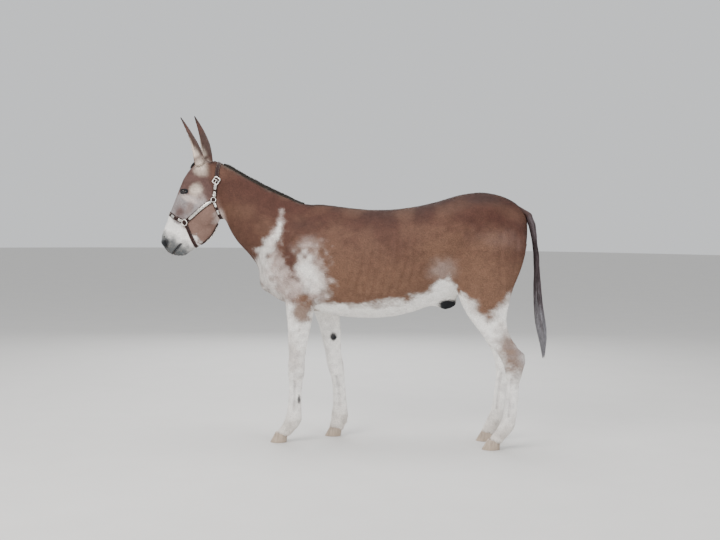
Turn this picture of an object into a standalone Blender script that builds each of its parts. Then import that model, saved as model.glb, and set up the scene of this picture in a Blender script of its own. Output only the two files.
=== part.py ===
"""A life-size standing mule in a show halter, as a still museum model.

The mule faces -X and stands on the floor at z = 0, in metres. Its body is lofted from side-view stations,
muscles are added as ellipsoids, and the whole is blended into one skin. Thin cuts then part that skin into
head, neck, torso and legs, so each part meets its neighbour face to face. Ears, eyes, hooves, hair and
halter are bodies of their own, cut to the skin.
"""

import math
import random

import bmesh
import bpy
import numpy as np
from mathutils import Matrix, Vector
from mathutils.bvhtree import BVHTree

# Driving dimensions of the animal, in metres.
WITHERS_HEIGHT = 1.49
CROUP_HEIGHT = 1.568
BACK_HEIGHT = 1.449
BELLY_HEIGHT = 0.762
HEAD_LENGTH = 0.625
EAR_WIDTH = 0.088
EYE_RADIUS = 0.0225
TAIL_END_HEIGHT = 0.545

# How the parts meet, in metres.
GAP = 0.0003
CUT = 0.0004
VOXEL = 0.007
RING_POINTS = 28

# A separate surface with fewer points than this is a sliver of a cut and is dropped.
SMALLEST_PART = 60
# A height over the whole animal, and a distance outside its head, that rays start from.
ABOVE_ALL = 2.2
OUTSIDE = 0.5

# Rounds of evening out, triangles left in the blended skin, and how many times that the first thinning
# leaves. The second thinning spares the head, which lies before this place along the animal.
SMOOTHING = 90
SKIN_TRIANGLES = 6000
FIRST_THINNING = 1.8
HEAD_BEFORE = -0.93

# Where the head sits: the poll, the slope of the face and how far the head turns to its right.
POLL = Vector((-0.955, 0.0, 1.735))
FACE_SLOPE = math.radians(24)
HEAD_TURN = math.radians(-7)

# Side-view stations. Each is the top (or front) point, the bottom (or back) point, and four half-widths
# from the bottom (or back) to the top (or front).
TRUNK = [
    ((-0.590, 1.130), (-0.585, 1.000), (0.050, 0.070, 0.070, 0.050)),
    ((-0.555, 1.230), (-0.550, 0.925), (0.095, 0.135, 0.135, 0.095)),
    ((-0.460, 1.380), (-0.470, 0.862), (0.120, 0.170, 0.160, 0.090)),
    ((-0.330, WITHERS_HEIGHT), (-0.330, 0.815), (0.125, 0.190, 0.178, 0.046)),
    ((-0.200, 1.489), (-0.200, 0.785), (0.135, 0.215, 0.198, 0.066)),
    ((-0.050, 1.465), (-0.050, 0.767), (0.160, 0.240, 0.228, 0.105)),
    ((0.100, BACK_HEIGHT), (0.100, BELLY_HEIGHT), (0.180, 0.256, 0.245, 0.130)),
    ((0.250, 1.453), (0.250, 0.775), (0.185, 0.258, 0.250, 0.145)),
    ((0.400, 1.475), (0.400, 0.815), (0.170, 0.243, 0.248, 0.155)),
    ((0.520, 1.505), (0.520, 0.868), (0.145, 0.215, 0.240, 0.155)),
    ((0.650, 1.549), (0.650, 0.925), (0.120, 0.190, 0.232, 0.140)),
    ((0.780, CROUP_HEIGHT), (0.780, 0.960), (0.110, 0.180, 0.222, 0.125)),
    ((0.900, 1.550), (0.900, 0.995), (0.100, 0.165, 0.195, 0.105)),
    ((0.990, 1.510), (0.990, 1.070), (0.080, 0.125, 0.145, 0.075)),
    ((1.045, 1.462), (1.045, 1.160), (0.045, 0.075, 0.085, 0.045)),
    ((1.072, 1.405), (1.072, 1.230), (0.020, 0.035, 0.040, 0.020)),
]
NECK = [
    ((-0.230, 1.440), (-0.330, 0.960), (0.110, 0.150, 0.130, 0.040)),
    ((-0.330, 1.500), (-0.560, 0.985), (0.100, 0.152, 0.125, 0.040)),
    ((-0.430, 1.540), (-0.612, 1.080), (0.085, 0.128, 0.105, 0.038)),
    ((-0.530, 1.582), (-0.680, 1.160), (0.072, 0.106, 0.092, 0.036)),
    ((-0.630, 1.632), (-0.748, 1.222), (0.064, 0.092, 0.084, 0.035)),
    ((-0.730, 1.687), (-0.795, 1.300), (0.060, 0.084, 0.080, 0.036)),
    ((-0.820, 1.733), (-0.832, 1.400), (0.054, 0.078, 0.080, 0.040)),
    ((-0.900, 1.750), (-0.880, 1.480), (0.040, 0.066, 0.070, 0.038)),
]
# Head stations: distance from the poll along the head, heights of face and jaw over the head's axis,
# half-widths.
HEAD = [
    (-0.012, 0.012, -0.100, (0.030, 0.052, 0.060, 0.040)),
    (0.035, 0.042, -0.130, (0.036, 0.066, 0.080, 0.055)),
    (0.095, 0.063, -0.150, (0.042, 0.072, 0.095, 0.072)),
    (0.155, 0.074, -0.178, (0.044, 0.072, 0.102, 0.082)),
    (0.215, 0.075, -0.222, (0.044, 0.070, 0.098, 0.080)),
    (0.275, 0.076, -0.255, (0.042, 0.066, 0.084, 0.064)),
    (0.335, 0.077, -0.259, (0.040, 0.060, 0.070, 0.050)),
    (0.395, 0.075, -0.250, (0.036, 0.052, 0.060, 0.042)),
    (0.455, 0.072, -0.222, (0.032, 0.046, 0.053, 0.038)),
    (0.510, 0.071, -0.186, (0.032, 0.047, 0.054, 0.040)),
    (0.555, 0.065, -0.158, (0.036, 0.052, 0.058, 0.042)),
    (0.590, 0.045, -0.130, (0.034, 0.048, 0.054, 0.036)),
    (0.615, 0.010, -0.098, (0.024, 0.036, 0.038, 0.024)),
    (HEAD_LENGTH, -0.020, -0.072, (0.010, 0.016, 0.018, 0.010)),
]
FORELEG = [
    ((-0.430, 1.020), (-0.210, 1.020), 0.122, (0.055, 0.080, 0.080, 0.055)),
    ((-0.412, 0.900), (-0.212, 0.900), 0.136, (0.045, 0.068, 0.070, 0.048)),
    ((-0.398, 0.800), (-0.226, 0.790), 0.140, (0.036, 0.058, 0.063, 0.043)),
    ((-0.389, 0.700), (-0.246, 0.690), 0.138, (0.029, 0.047, 0.053, 0.038)),
    ((-0.386, 0.600), (-0.264, 0.595), 0.135, (0.024, 0.037, 0.043, 0.032)),
    ((-0.382, 0.530), (-0.276, 0.530), 0.134, (0.022, 0.033, 0.038, 0.029)),
    ((-0.387, 0.475), (-0.276, 0.480), 0.133, (0.026, 0.039, 0.044, 0.034)),
    ((-0.386, 0.430), (-0.279, 0.425), 0.133, (0.025, 0.038, 0.043, 0.033)),
    ((-0.380, 0.385), (-0.288, 0.380), 0.132, (0.018, 0.029, 0.033, 0.026)),
    ((-0.381, 0.330), (-0.292, 0.330), 0.132, (0.014, 0.025, 0.029, 0.024)),
    ((-0.385, 0.250), (-0.294, 0.250), 0.132, (0.014, 0.024, 0.028, 0.023)),
    ((-0.391, 0.190), (-0.294, 0.195), 0.132, (0.018, 0.028, 0.031, 0.025)),
    ((-0.403, 0.150), (-0.292, 0.140), 0.132, (0.024, 0.036, 0.037, 0.028)),
    ((-0.418, 0.115), (-0.316, 0.095), 0.132, (0.020, 0.031, 0.033, 0.025)),
    ((-0.434, 0.088), (-0.348, 0.062), 0.132, (0.021, 0.032, 0.035, 0.026)),
    ((-0.449, 0.070), (-0.370, 0.037), 0.132, (0.027, 0.037, 0.039, 0.028)),
    ((-0.452, 0.048), (-0.394, 0.030), 0.132, (0.022, 0.030, 0.032, 0.023)),
]
HINDLEG = [
    ((0.600, 1.200), (1.045, 1.370), 0.108, (0.060, 0.098, 0.105, 0.065)),
    ((0.612, 1.070), (1.082, 1.255), 0.116, (0.055, 0.092, 0.100, 0.062)),
    ((0.632, 0.965), (1.054, 1.120), 0.126, (0.048, 0.082, 0.092, 0.060)),
    ((0.665, 0.885), (1.010, 1.000), 0.134, (0.042, 0.070, 0.080, 0.055)),
    ((0.705, 0.820), (0.972, 0.895), 0.138, (0.036, 0.058, 0.066, 0.046)),
    ((0.752, 0.755), (0.952, 0.800), 0.139, (0.029, 0.047, 0.055, 0.039)),
    ((0.800, 0.695), (0.962, 0.735), 0.138, (0.022, 0.038, 0.046, 0.034)),
    ((0.845, 0.640), (0.988, 0.675), 0.137, (0.015, 0.030, 0.040, 0.031)),
    ((0.885, 0.595), (1.026, 0.625), 0.136, (0.013, 0.027, 0.039, 0.031)),
    ((0.915, 0.555), (1.066, 0.580), 0.135, (0.017, 0.032, 0.042, 0.034)),
    ((0.932, 0.515), (1.070, 0.535), 0.135, (0.020, 0.036, 0.045, 0.036)),
    ((0.944, 0.465), (1.052, 0.465), 0.135, (0.020, 0.034, 0.042, 0.033)),
    ((0.952, 0.415), (1.038, 0.412), 0.135, (0.016, 0.028, 0.034, 0.028)),
    ((0.951, 0.350), (1.033, 0.350), 0.135, (0.014, 0.025, 0.030, 0.025)),
    ((0.944, 0.260), (1.029, 0.260), 0.135, (0.014, 0.025, 0.030, 0.025)),
    ((0.933, 0.195), (1.022, 0.195), 0.135, (0.018, 0.029, 0.033, 0.026)),
    ((0.913, 0.150), (1.012, 0.138), 0.135, (0.024, 0.036, 0.038, 0.029)),
    ((0.892, 0.114), (0.984, 0.095), 0.135, (0.020, 0.031, 0.034, 0.025)),
    ((0.872, 0.088), (0.952, 0.062), 0.135, (0.021, 0.032, 0.035, 0.026)),
    ((0.855, 0.070), (0.936, 0.037), 0.135, (0.027, 0.038, 0.040, 0.029)),
    ((0.858, 0.048), (0.914, 0.030), 0.135, (0.022, 0.030, 0.032, 0.023)),
]
# How far the right legs stand behind the left ones, by height.
FORE_STRIDE = [(1.10, 0.0), (0.90, 0.085), (0.71, 0.150), (0.56, 0.180), (0.46, 0.203), (0.31, 0.238),
               (0.14, 0.252), (0.07, 0.285), (0.0, 0.300)]
HIND_STRIDE = [(0.90, 0.0), (0.70, -0.020), (0.62, -0.038), (0.55, -0.055), (0.31, -0.074),
               (0.14, -0.075), (0.07, -0.055), (0.0, -0.045)]

# Muscles and bony points over the lofts: centre, half-sizes and lean in the side view. Each is set on
# both sides.
MUSCLES = [
    ((-0.365, 0.104, 1.180), (0.105, 0.070, 0.190), 32),
    ((-0.478, 0.110, 1.030), (0.070, 0.058, 0.080), 0),
    ((-0.350, 0.132, 0.985), (0.115, 0.052, 0.105), -20),
    ((-0.530, 0.060, 1.015), (0.062, 0.066, 0.100), 15),
    ((-0.245, 0.128, 0.895), (0.042, 0.044, 0.060), 0),
    ((0.770, 0.090, 1.405), (0.200, 0.105, 0.115), -6),
    ((0.610, 0.158, 1.385), (0.070, 0.050, 0.060), 0),
    ((0.715, 0.122, 1.130), (0.110, 0.080, 0.170), -14),
    ((0.965, 0.088, 1.190), (0.085, 0.074, 0.190), 6),
    ((-0.560, 0.052, 1.340), (0.085, 0.056, 0.230), -46),
]
# The same on the head, in distance along it, height over its axis and side.
HEAD_FORMS = [
    ((0.262, -0.140, 0.050), (0.115, 0.088, 0.030), 30),
    ((0.345, 0.004, 0.058), (0.095, 0.015, 0.014), 4),
    ((0.172, 0.020, 0.080), (0.044, 0.026, 0.027), 0),
    ((0.220, 0.000, 0.069), (0.040, 0.040, 0.026), 0),
    ((0.560, 0.012, 0.036), (0.040, 0.030, 0.024), -40),
    ((0.600, -0.028, 0.022), (0.026, 0.024, 0.024), 0),
    ((0.575, -0.112, 0.018), (0.034, 0.024, 0.024), 0),
]
SHEATH = ((0.585, 0.0, 0.866), (0.085, 0.036, 0.052), -16)
# The eye's place on the head, the tilt of its opening, and half-sizes of the lids and of the opening.
EYE = (0.214, 0.009, 0.0870)
EYE_TILT = -64
LID = (EYE_RADIUS + 0.007, EYE_RADIUS + 0.0042, EYE_RADIUS + 0.010)
EYE_OPENING = (0.0195, 0.018, 0.0115)
NOSTRIL = ((0.566, 0.008, 0.062), (0.024, 0.010, 0.017), -55)
MOUTH_CORNER = (0.530, -0.090)
MOUTH_FRONT = (0.640, -0.052)

# Hooves: the toe and heel on the floor and at the hoof's upper rim, and half-widths there.
HOOF_TOE = 0.060
HOOF_HEEL = 0.046
HOOF_HALF_WIDTH = 0.046

# How far each ear opens to its own side, and the thickness of its leaf.
EAR_YAW = math.radians(10)
EAR_WALL = 0.005
# How far the middle of an ear bows outward and back.
EAR_BOW_OUT = 0.014
EAR_BOW_BACK = 0.016
# Rows of an ear from base to tip: place, half-width, half-depth and half the opening in degrees.
EAR_ROWS = [
    (0.00, 0.034, 0.035, 14), (0.10, 0.036, 0.036, 24), (0.20, 0.040, 0.034, 44),
    (0.32, EAR_WIDTH / 2, 0.030, 62), (0.45, EAR_WIDTH / 2, 0.025, 72), (0.58, 0.037, 0.019, 76),
    (0.70, 0.030, 0.015, 78), (0.81, 0.022, 0.011, 76), (0.90, 0.014, 0.008, 70), (0.96, 0.008, 0.005, 64),
    (1.00, 0.003, 0.003, 58),
]
# Root and tip of each ear: distance along the head, height over its axis, side.
EARS = {"left": ((0.022, -0.012, 0.058), (-0.196, 0.222, 0.082)),
        "right": ((0.022, -0.014, 0.058), (-0.224, 0.206, 0.082))}
# Feet: toe and heel on the floor, toe and heel at the rim, and the side.
FEET = {
    "hoof_fore_left": (-0.492, -0.392, -0.461, -0.386, -0.132),
    "hoof_fore_right": (-0.190, -0.090, -0.157, -0.082, 0.132),
    "hoof_hind_left": (0.812, 0.920, 0.848, 0.924, -0.135),
    "hoof_hind_right": (0.768, 0.876, 0.803, 0.879, 0.135),
}
# The tail from root to tip, and its half-width at steps of that line.
TAIL_LINE = [(1.040, 1.440), (1.076, 1.415), (1.100, 1.360), (1.113, 1.290), (1.121, 1.200), (1.126, 1.100),
             (1.131, 1.000), (1.137, 0.900), (1.149, 0.800), (1.164, 0.710), (1.174, 0.630),
             (1.176, TAIL_END_HEIGHT)]
TAIL_SPREAD = [(0, 0.006), (1, 0.011), (3, 0.017), (5, 0.022), (7, 0.033), (8.6, 0.040), (9.6, 0.028),
               (11, 0.004)]
TAIL_LOCKS = 18
MANE_LOCKS = 18
LOCK_ROWS = 9
MANE_FRONT = -0.828
MANE_BACK = -0.315
MANE_HEIGHT = 0.017
# The halter: strap width, how deep its leather starts under the skin, and places on the cheek.
STRAP = 0.026
LEATHER_SINK = -0.004
RING_AT = (0.394, -0.064)
JOINT = (0.187, -0.177)
BUCKLE_AT = (0.069, -0.148)
RING_SIZE = 0.022
BUCKLE_SIZE = 0.024
FITTING_THICKNESS = 0.006
FITTING_HEIGHT = 0.0105
# Height inside the jaw that its underside is looked for from.
JAW_HEART = -0.10
JAW_STRAP = (0.484, 0.322)
# Places that tell which part of the body a piece is.
ANCHORS = {
    "head": (-1.080, 0.0, 1.450), "neck": (-0.640, 0.0, 1.380), "torso": (0.300, 0.0, 1.150),
    "foreleg_left": (-0.360, -0.132, 0.420), "foreleg_right": (-0.170, 0.132, 0.420),
    "hindleg_left": (0.900, -0.135, 0.520), "hindleg_right": (0.850, 0.135, 0.520),
}
# Colour and roughness of each material, and the material of each kind of part.
MATERIALS = {
    "brown_coat": ((0.235, 0.105, 0.062), 0.75), "white_coat": ((0.72, 0.66, 0.58), 0.80),
    "dark_hair": ((0.030, 0.020, 0.020), 0.70), "plum_hair": ((0.075, 0.035, 0.040), 0.70),
    "horn": ((0.42, 0.37, 0.30), 0.60), "eye": ((0.020, 0.012, 0.008), 0.08),
    "leather": ((0.045, 0.020, 0.012), 0.45), "silver": ((0.75, 0.74, 0.72), 0.25),
}
LOOKS = {
    "head": "brown_coat", "neck": "brown_coat", "torso": "brown_coat", "ear": "brown_coat",
    "foreleg": "white_coat", "hindleg": "white_coat", "hoof": "horn", "eye": "eye", "tail": "plum_hair",
    "mane": "dark_hair", "forelock": "dark_hair", "halter": "leather", "buckle": "silver", "ring": "silver",
}

rng = random.Random(11)


def clear_scene():
    for thing in list(bpy.data.objects):
        bpy.data.objects.remove(thing, do_unlink=True)


def make_material(name, colour, roughness, metallic=0.0):
    mat = bpy.data.materials.new(name)
    mat.use_nodes = True
    shader = mat.node_tree.nodes["Principled BSDF"]
    shader.inputs["Base Color"].default_value = (*colour, 1.0)
    shader.inputs["Roughness"].default_value = roughness
    shader.inputs["Metallic"].default_value = metallic
    return mat


def blend(table, at):
    """Read a table of (place, value) pairs, in any order of place, with straight steps between."""
    rows = sorted(table)
    if at <= rows[0][0]:
        return rows[0][1]
    for (place_a, value_a), (place_b, value_b) in zip(rows, rows[1:]):
        if at <= place_b:
            return value_a + (value_b - value_a) * (at - place_a) / (place_b - place_a)
    return rows[-1][1]


def body_from(name, verts, faces):
    """One closed mesh object from points and faces, with its faces turned outward."""
    mesh = bpy.data.meshes.new(name)
    mesh.from_pydata([tuple(v) for v in verts], [], faces)
    work = bmesh.new()
    work.from_mesh(mesh)
    bmesh.ops.recalc_face_normals(work, faces=work.faces)
    if work.calc_volume(signed=True) < 0:
        bmesh.ops.reverse_faces(work, faces=work.faces)
    work.to_mesh(mesh)
    work.free()
    obj = bpy.data.objects.new(name, mesh)
    scratch.objects.link(obj)
    return obj


def loft(name, rings):
    """A tube through rings of equal point count, closed by a fan at each end."""
    count = len(rings[0])
    verts = [point for ring in rings for point in ring]
    faces = []
    for row in range(len(rings) - 1):
        for col in range(count):
            here, there = row * count + col, row * count + (col + 1) % count
            faces.append((here, there, there + count, here + count))
    for row in (0, len(rings) - 1):
        centre = sum((Vector(p) for p in rings[row]), Vector()) / count
        verts.append(centre)
        hub = len(verts) - 1
        for col in range(count):
            faces.append((row * count + col, row * count + (col + 1) % count, hub))
    return body_from(name, verts, faces)


def oval(front, back, side, halves, points=RING_POINTS):
    """A ring between two points, as wide as `halves` at four places on the way from back to front."""
    places = (0.15, 0.38, 0.65, 0.88)
    scale = []
    for place, half in zip(places, halves):
        scale.append((place, half / math.sqrt(1 - (2 * place - 1) ** 2)))
    ring = []
    for step in range(points):
        angle = math.tau * step / points
        place = (1 - math.cos(angle)) / 2
        width = blend(scale, place) * math.sin(angle)
        ring.append(back.lerp(front, place) + side * width)
    return ring


def ellipsoid(name, centre, turn, half_sizes, detail=3):
    work = bmesh.new()
    bmesh.ops.create_icosphere(work, subdivisions=detail, radius=1.0)
    shape = Matrix.Translation(centre) @ turn @ Matrix.Diagonal((*half_sizes, 1.0))
    bmesh.ops.transform(work, matrix=shape, verts=work.verts)
    if work.calc_volume(signed=True) < 0:
        bmesh.ops.reverse_faces(work, faces=work.faces)
    mesh = bpy.data.meshes.new(name)
    work.to_mesh(mesh)
    work.free()
    obj = bpy.data.objects.new(name, mesh)
    scratch.objects.link(obj)
    return obj


# The head's own directions: along it from the poll to the lips, out of its face, and to the left side.
TURN = Matrix.Rotation(HEAD_TURN, 3, "Z")
ALONG = TURN @ Vector((-math.sin(FACE_SLOPE), 0.0, -math.cos(FACE_SLOPE)))
OUT = TURN @ Vector((-math.cos(FACE_SLOPE), 0.0, math.sin(FACE_SLOPE)))
SIDE = TURN @ Vector((0.0, 1.0, 0.0))
HEAD_AXES = Matrix((ALONG, SIDE, OUT)).transposed().to_4x4()


def on_head(along, out, side=0.0):
    return POLL + ALONG * along + OUT * out + SIDE * side


def lean(degrees):
    return Matrix.Rotation(math.radians(degrees), 4, "Y")


def mesh_of(obj):
    """The object's mesh with its modifiers applied, as a new mesh."""
    graph = bpy.context.evaluated_depsgraph_get()
    return bpy.data.meshes.new_from_object(obj.evaluated_get(graph), depsgraph=graph)


def largest_shell(mesh):
    """Keep only the largest closed surface of a mesh."""
    work = bmesh.new()
    work.from_mesh(mesh)
    work.verts.ensure_lookup_table()
    seen = [-1] * len(work.verts)
    groups = []
    for start in work.verts:
        if seen[start.index] >= 0:
            continue
        group = [start]
        seen[start.index] = len(groups)
        for vert in group:
            for edge in vert.link_edges:
                other = edge.other_vert(vert)
                if seen[other.index] < 0:
                    seen[other.index] = len(groups)
                    group.append(other)
        groups.append(group)
    keep = max(groups, key=len)
    drop = [v for group in groups if group is not keep for v in group]
    bmesh.ops.delete(work, geom=drop, context="VERTS")
    bmesh.ops.triangulate(work, faces=work.faces)
    work.to_mesh(mesh)
    work.free()


def finish_mesh(obj, all_shells=False):
    """Apply what is on the object, keep its main closed surface and drop its modifiers."""
    mesh = mesh_of(obj)
    obj.modifiers.clear()
    obj.data = mesh
    if not all_shells:
        largest_shell(mesh)


def combine(obj, others, operation, solver="EXACT", all_shells=False):
    """One Boolean of an object with several closed bodies, applied at once. The others are removed."""
    group = bpy.data.collections.new(obj.name + "_tools")
    bpy.context.scene.collection.children.link(group)
    for other in others:
        scratch.objects.unlink(other)
        group.objects.link(other)
        other.hide_render = True
        other.display_type = "WIRE"
    cut = obj.modifiers.new(operation.lower(), "BOOLEAN")
    cut.operation = operation
    cut.operand_type = "COLLECTION"
    cut.collection = group
    cut.solver = solver
    finish_mesh(obj, all_shells)
    for other in others:
        bpy.data.objects.remove(other, do_unlink=True)
    bpy.data.collections.remove(group)


def swollen(obj, name, amount=0.0004):
    """A copy of a body pushed outward all over, to leave a gap when it is cut from a neighbour."""
    mesh = obj.data.copy()
    normals = [v.normal.copy() for v in mesh.vertices]
    for vert, normal in zip(mesh.vertices, normals):
        vert.co += normal * amount
    copy = bpy.data.objects.new(name, mesh)
    scratch.objects.link(copy)
    return copy


def relax(mesh, rounds, keep):
    """Even out a mesh over its neighbours, less where `keep` is near one."""
    count = len(mesh.vertices)
    flat = np.empty(count * 3)
    mesh.vertices.foreach_get("co", flat)
    points = flat.reshape(-1, 3)
    pairs = np.empty(len(mesh.edges) * 2, dtype=np.int32)
    mesh.edges.foreach_get("vertices", pairs)
    one, two = pairs.reshape(-1, 2).T
    degree = np.bincount(pairs, minlength=count)
    weight = 1.0 - keep(points)
    for _ in range(rounds):
        mean = np.empty_like(points)
        for axis in range(3):
            total = np.bincount(one, points[two, axis], count) + np.bincount(two, points[one, axis], count)
            mean[:, axis] = total / degree
        points = points + (mean - points) * (0.5 * weight)[:, None]
    mesh.vertices.foreach_set("co", points.ravel())
    mesh.update()


def decimate(obj, triangles, free=None):
    """Thin a mesh out to a triangle count; `free` marks the vertices that may go."""
    if free is not None:
        group = obj.vertex_groups.new(name="free")
        group.add([i for i, is_free in enumerate(free) if is_free], 1.0, "REPLACE")
    thin = obj.modifiers.new("thin", "DECIMATE")
    if free is not None:
        thin.vertex_group = "free"
    thin.ratio = triangles / len(obj.data.loop_triangles) if obj.data.loop_triangles else 1.0
    finish_mesh(obj)


def count_triangles(obj):
    obj.data.calc_loop_triangles()
    return len(obj.data.loop_triangles)


def leg_rings(stations, stride, sign):
    """Rings of one leg. The right legs (sign +1) are shifted by the stride at their height."""
    rings = []
    for front, back, reach, halves in stations:
        ends = []
        for x, z in (front, back):
            shift = blend(stride, z) if sign > 0 else 0.0
            ends.append(Vector((x + shift, sign * reach, z)))
        rings.append(oval(ends[0], ends[1], Vector((0.0, 1.0, 0.0)), halves))
    return rings


def build_skin():
    """The whole animal without ears, eyes, hooves and hair, as one blended closed surface."""
    across = Vector((0.0, 1.0, 0.0))
    pieces = []
    for name, table in (("trunk", TRUNK), ("neck_root", NECK)):
        rings = [oval(Vector((t[0], 0, t[1])), Vector((b[0], 0, b[1])), across, h) for t, b, h in table]
        pieces.append(loft(name, rings))
    rings = [oval(on_head(d, face), on_head(d, jaw), SIDE, halves) for d, face, jaw, halves in HEAD]
    pieces.append(loft("skull", rings))
    for sign in (-1, 1):
        pieces.append(loft("fore", leg_rings(FORELEG, FORE_STRIDE, sign)))
        pieces.append(loft("hind", leg_rings(HINDLEG, HIND_STRIDE, sign)))
        for (x, y, z), sizes, angle in MUSCLES:
            stride = FORE_STRIDE if x < 0 else HIND_STRIDE
            shift = blend(stride, z) if sign > 0 else 0.0
            pieces.append(ellipsoid("muscle", Vector((x + shift, sign * y, z)), lean(angle), sizes))
        for (d, h, s), (long, tall, wide), angle in HEAD_FORMS:
            turn = HEAD_AXES @ Matrix.Rotation(math.radians(angle), 4, "Y")
            pieces.append(ellipsoid("form", on_head(d, h, sign * s), turn, (long, wide, tall)))
    centre, sizes, angle = SHEATH
    pieces.append(ellipsoid("sheath", Vector(centre), lean(angle), sizes))
    verts, faces = [], []
    for piece in pieces:
        start = len(verts)
        verts += [v.co.copy() for v in piece.data.vertices]
        faces += [tuple(start + i for i in p.vertices) for p in piece.data.polygons]
        bpy.data.objects.remove(piece, do_unlink=True)
    mesh = bpy.data.meshes.new("skin")
    mesh.from_pydata([tuple(v) for v in verts], [], faces)
    skin = bpy.data.objects.new("skin", mesh)
    scratch.objects.link(skin)
    cover = skin.modifiers.new("cover", "REMESH")
    cover.mode = "VOXEL"
    cover.voxel_size = VOXEL
    finish_mesh(skin)
    return skin


def firmness(points):
    """How much of its shape a place keeps when the skin is evened out: legs and head keep the most."""
    x, y, z = points.T
    on_leg = np.clip((np.abs(y) - 0.04) / 0.03, 0.0, 1.0)
    on_leg = on_leg * np.clip((np.abs(x - 0.22) - 0.24) / 0.08, 0.0, 1.0)
    legs = np.clip((0.98 - z) / 0.16, 0.0, 1.0) * on_leg * 0.90
    lower = np.clip((0.74 - z) / 0.06, 0.0, 1.0) * 0.965
    head = np.clip((-0.82 - x) / 0.10, 0.0, 1.0) * 0.94
    return np.maximum(np.maximum(legs, lower), head)


def fan(surface, centre, toward, start, end, count):
    """Points of the skin met from outside, in the plane of `toward` and the head's side axis."""
    middle = on_head(*centre)
    aim = (ALONG * toward[0] + OUT * toward[1]).normalized()
    hits = []
    for step in range(count):
        angle = math.radians(start + (end - start) * step / (count - 1))
        way = aim * math.cos(angle) + SIDE * math.sin(angle)
        place, normal, _, _ = surface.ray_cast(middle + way * OUTSIDE, -way)
        hits.append((place, normal))
    return hits


def flank(surface, places, sign):
    """Points of the skin met from one side of the head."""
    hits = []
    for (d0, h0), (d1, h1) in zip(places, places[1:]):
        for step in range(4):
            part = step / 4
            spot = on_head(d0 + (d1 - d0) * part, h0 + (h1 - h0) * part, sign * OUTSIDE)
            place, normal, _, _ = surface.ray_cast(spot, -SIDE * sign)
            hits.append((place, normal))
    place, normal, _, _ = surface.ray_cast(on_head(*places[-1], sign * OUTSIDE), -SIDE * sign)
    hits.append((place, normal))
    return hits


def under_jaw(surface, count):
    """Points of the skin along the middle of the jaw's underside, met from inside the head."""
    start, end = JAW_STRAP
    hits = []
    for step in range(count):
        part = step / (count - 1)
        place, normal, _, _ = surface.ray_cast(on_head(start + (end - start) * part, JAW_HEART), -OUT)
        hits.append((place, normal))
    return hits


def strap(name, hits, width, inner, outer):
    """A flat band that follows points of the skin, from `inner` below it to `outer` above it."""
    places = [hit[0] for hit in hits]
    normals = [hit[1] for hit in hits]
    for _ in range(3):
        turned = [normals[0]]
        turned += [(a + b + c).normalized() for a, b, c in zip(normals, normals[1:], normals[2:])]
        normals = turned + [normals[-1]]
    rings = []
    for i, (place, normal) in enumerate(zip(places, normals)):
        run = (places[min(i + 1, len(places) - 1)] - places[max(i - 1, 0)]).normalized()
        wide = run.cross(normal).normalized() * width / 2
        up = wide.cross(run).normalized()
        rings.append([place - wide + up * inner, place + wide + up * inner,
                      place + wide + up * outer, place - wide + up * outer])
    return loft(name, rings)


def tube(name, path, radii, flat=1.0, points=8):
    """A round or flattened tube along a path, wide across Y."""
    rings = []
    for i, place in enumerate(path):
        run = (path[min(i + 1, len(path) - 1)] - path[max(i - 1, 0)]).normalized()
        thick = run.cross(Vector((0.0, 1.0, 0.0))).normalized()
        ring = []
        for step in range(points):
            angle = math.tau * step / points
            wide = Vector((0.0, 1.0, 0.0)) * math.cos(angle) * radii[i]
            ring.append(place + wide + thick * math.sin(angle) * radii[i] * flat)
        rings.append(ring)
    return loft(name, rings)


def lock(name, path, width, thickness, face, draw=0.90):
    """A flat lock of hair along a path, widest a third of the way and drawn in to its tip."""
    rings = []
    last = len(path) - 1
    for i, place in enumerate(path):
        run = (path[min(i + 1, last)] - path[max(i - 1, 0)]).normalized()
        wide = run.cross(face).normalized()
        up = wide.cross(run).normalized()
        part = i / last
        size = (0.75 + 0.25 * math.sin(math.pi * min(part * 1.5, 1.0))) * (1.0 - part ** 3 * draw)
        w, t = wide * width / 2 * size, up * thickness / 2 * size
        rings.append([place - w, place - t, place + w, place + t])
    return loft(name, rings)


def build_ear(name, sign, base, tip):
    """A tall ear as a cupped leaf, open to the front and a little outward."""
    root, end = on_head(*base), on_head(*tip)
    rise = (end - root).normalized()
    open_way = OUT * math.cos(EAR_YAW) + SIDE * sign * math.sin(EAR_YAW)
    open_way = (open_way - rise * open_way.dot(rise)).normalized()
    across = rise.cross(open_way).normalized()
    length = (end - root).length
    rows, verts, faces = len(EAR_ROWS), [], []
    arc = 10
    for part, half_width, depth, opening in EAR_ROWS:
        bend = (SIDE * sign * EAR_BOW_OUT - open_way * EAR_BOW_BACK) * math.sin(math.pi * part)
        middle = root + rise * length * part + bend
        wall = min(EAR_WALL, 0.45 * half_width, 0.45 * depth)
        gap = math.radians(opening)
        outer, inner = [], []
        for step in range(arc):
            angle = gap + (math.tau - 2 * gap) * step / (arc - 1)
            c, s = math.cos(angle), math.sin(angle)
            outer.append(middle + open_way * c * depth + across * s * half_width)
            inner.append(middle + open_way * c * (depth - wall) + across * s * (half_width - wall))
        verts += outer + inner[::-1]
    ring = arc * 2
    for row in range(rows - 1):
        for col in range(ring):
            here, there = row * ring + col, row * ring + (col + 1) % ring
            faces.append((here, there, there + ring, here + ring))
    for row in (0, rows - 1):
        for col in range(arc - 1):
            start = row * ring
            faces.append((start + col, start + col + 1, start + ring - 2 - col, start + ring - 1 - col))
    return body_from(name, verts, faces)


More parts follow.
